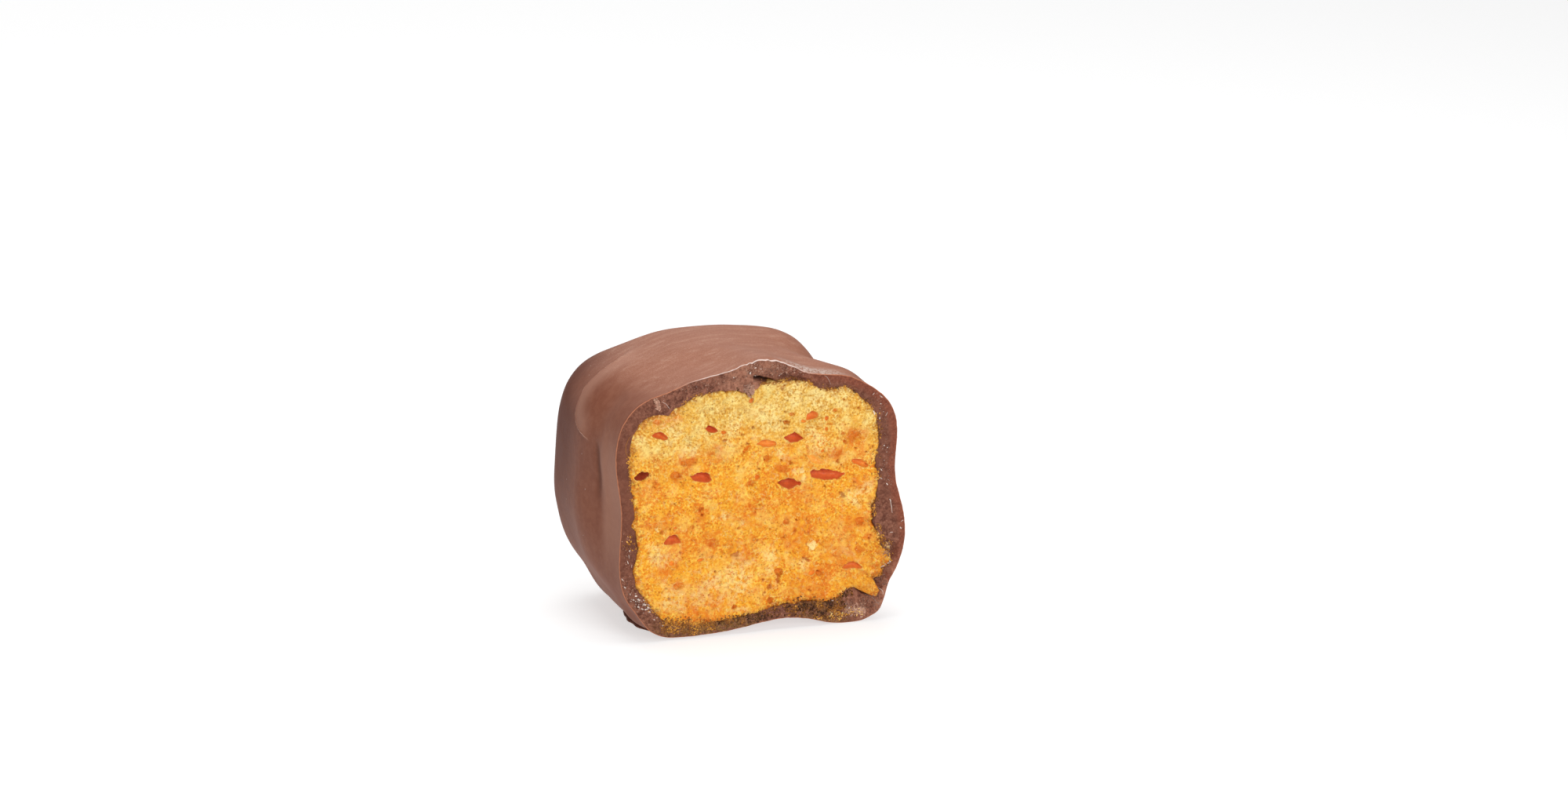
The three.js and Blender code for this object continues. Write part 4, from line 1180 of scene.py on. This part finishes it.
def fleck_finish():
    """Glossy sugar, from brown to white."""
    material, place = new_finish("sugar_fleck")
    colour = place.mark("tone").shades((132, 86, 66), (236, 220, 208))
    surface(place, {"Base Color": colour, "Roughness": 0.25, "IOR": 1.5})
    return material


def flat_flecks(places, chance):
    """Slivers that lie flat on the break, each at its own place and tilt."""
    places = places[held(places[:, :2])]
    for (x, z, long, wide, tilt), y in zip(places, on_break(places[:, 0], places[:, 1])):
        cos, sin = math.cos(math.radians(tilt)), math.sin(math.radians(tilt))
        turn = np.array([[cos, 0, sin], [0, 1, 0], [-sin, 0, cos]])
        half_sizes = (1.1 * long / 2, wide / 2, wide / 2)
        yield chip((x, y, z), half_sizes, turn, chance.uniform(0.35, 0.95), chance)


fleck_bits = [*flat_flecks(np.array(FLECKS), chance)] + strewn(FLECK_BANDS, chance)
flecks = joined("sugar_flecks", fleck_bits + [thread(*line) for line in SUGAR_THREADS])
flecks.data.materials.append(fleck_finish())
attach(flecks, "root")

# Chocolate flakes
# Chips and shavings of the coating that split off along the break and hang on: on the crown's flake, in
# its notch, at the upper left, and round the crag. They are dull, and paler than the wall.
# Bands of them, like the bands of crumbs
FLAKE_BANDS = (
    (300, (-1.0, 34.3), (6.5, 34.2), 1.1, (0.07, 0.2), (0.1, 0.85)),
    (80, (-1.3, 32.2), (0.2, 31.8), 0.8, (0.1, 0.24), (0.3, 0.9)),
    (70, (-12.95, 31.8), (-12.4, 30.2), 0.34, (0.14, 0.4), (0.25, 0.95)),
    (120, (-9.5, 32.6), (-2.0, 33.4), 1.2, (0.06, 0.16), (0, 0.7)),
    (90, (17.9, 10.2), (18.5, 8.4), 0.8, (0.1, 0.24), (0.1, 0.8)),
    (90, (16.9, 5.9), (17.8, 4.4), 1.0, (0.08, 0.22), (0, 0.5)),
    (300, (12.4, 2.0), (15.2, 1.5), 1.1, (0.08, 0.26), (0.25, 1)),
    (80, (14.5, 2.4), (17.0, 2.2), 1.4, (0.08, 0.24), (0, 0.5)),
    (60, (-1.1, 31.9), (0.0, 31.6), 0.8, (0.24, 0.46), (0.45, 1)),
    (90, (-17.2, 9.0), (-15.9, 5.2), 0.9, (0.06, 0.16), (0, 0.6)),
    (40, (-16.9, 15.0), (-16.4, 10.0), 0.9, (0.06, 0.15), (0.2, 0.8)),
    (110, (17.4, 29.0), (18.3, 17.0), 1.2, (0.06, 0.14), (0, 0.5)),
)


def flake_finish():
    """Satin chocolate, paler where it is shaved thin."""
    material, place = new_finish("chocolate_flake")
    colour = place.mark("tone").shades((104, 60, 44), (204, 158, 134))
    surface(place, {"Base Color": colour, "Roughness": 0.5, "IOR": 1.46})
    return material


flakes = joined("chocolate_flakes", strewn(FLAKE_BANDS, chance))
flakes.data.materials.append(flake_finish())
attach(flakes, "root")

# Floor, light and camera
# A sheet of white paper, lit softly from above, from behind and from the right of the camera. The camera
# looks at the broken face from the left, a little above. Places and sizes of the set are in metres.
SHEET_HALF, AIM, TENT_LIGHT = 3, (0, 0, 0.02), 0.22
SHEET_CORNERS = [(x * SHEET_HALF, y * SHEET_HALF, 0) for x, y in ((-1, -1), (1, -1), (1, 1), (-1, 1))]


def paper_finish():
    """Matt paper with a glow of its own, so that it stays white in the soft light."""
    material, place = new_finish("paper")
    surface(place, {
        "Base Color": paint(186, 186, 186), "Roughness": 0.9, "Specular IOR Level": 0.1,
        "Emission Color": paint(255, 255, 255), "Emission Strength": 0.6,
    })
    return material


floor_mesh = bpy.data.meshes.new("floor")
floor_mesh.from_pydata(SHEET_CORNERS, [], [(0, 1, 2, 3)])
floor_mesh.materials.append(paper_finish())
floor = placed("floor", floor_mesh)
floor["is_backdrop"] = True

world = bpy.data.worlds.new("light_tent")
bpy.context.scene.world = world
world.use_nodes = True
tent = world.node_tree.nodes["Background"]
tent.inputs["Color"].default_value = (1, 1, 1, 1)
tent.inputs["Strength"].default_value = TENT_LIGHT


def lamp(name, place, size, watts):
    """A softbox aimed at the middle of the piece."""
    light = bpy.data.lights.new(name, "AREA")
    light.shape = "RECTANGLE"
    light.size, light.size_y = size
    light.energy = watts
    stand = placed(name, light)
    stand.location = place
    back = np.array(place) - np.array(AIM)
    back /= np.linalg.norm(back)
    stand.rotation_euler = (math.acos(back[2]), 0, math.atan2(back[0], -back[1]))


lamp("top_softbox", (0, 0.05, 0.6), (0.5, 0.5), 2.85)
lamp("back_softbox", (-0.05, 0.75, 0.35), (0.9, 0.5), 1.1)
lamp("front_fill", (0.1, -0.7, 0.3), (0.5, 0.4), 2.9)

AZIMUTH, ELEVATION, LENS, SENSOR = math.radians(-19), math.radians(14), 100, 36
FRAME_WIDTH, FRAME_HEIGHT, MM_PER_PIXEL = 2000, 1016, 0.1
ANCHOR_PIXEL, ANCHOR = (959, 806), (-0.25, BREAK_Y, 0)  # where the foot of the break stands in the frame
look_back = np.array([
    math.sin(AZIMUTH) * math.cos(ELEVATION),
    -math.cos(AZIMUTH) * math.cos(ELEVATION),
    math.sin(ELEVATION),
])
to_right = np.array([math.cos(AZIMUTH), math.sin(AZIMUTH), 0])
focal = LENS / SENSOR * FRAME_WIDTH
across = (ANCHOR_PIXEL[0] - FRAME_WIDTH / 2) / focal
upwards = -(ANCHOR_PIXEL[1] - FRAME_HEIGHT / 2) / focal
ray = across * to_right + upwards * np.cross(look_back, to_right) - look_back
camera = placed("camera", bpy.data.cameras.new("camera"))
camera.data.lens, camera.data.sensor_width = LENS, SENSOR
camera.data.clip_start, camera.data.clip_end = 0.01, 20
camera.location = (np.array(ANCHOR) - ray * focal * MM_PER_PIXEL) * MM
camera.rotation_euler = (math.pi / 2 - ELEVATION, 0, AZIMUTH)
bpy.context.scene.camera = camera
bpy.context.scene.view_settings.view_transform = "Standard"

sizes = {"cad": cad_box, "visual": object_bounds()}
{name: [list(corner) for corner in box] for name, box in sizes.items()}
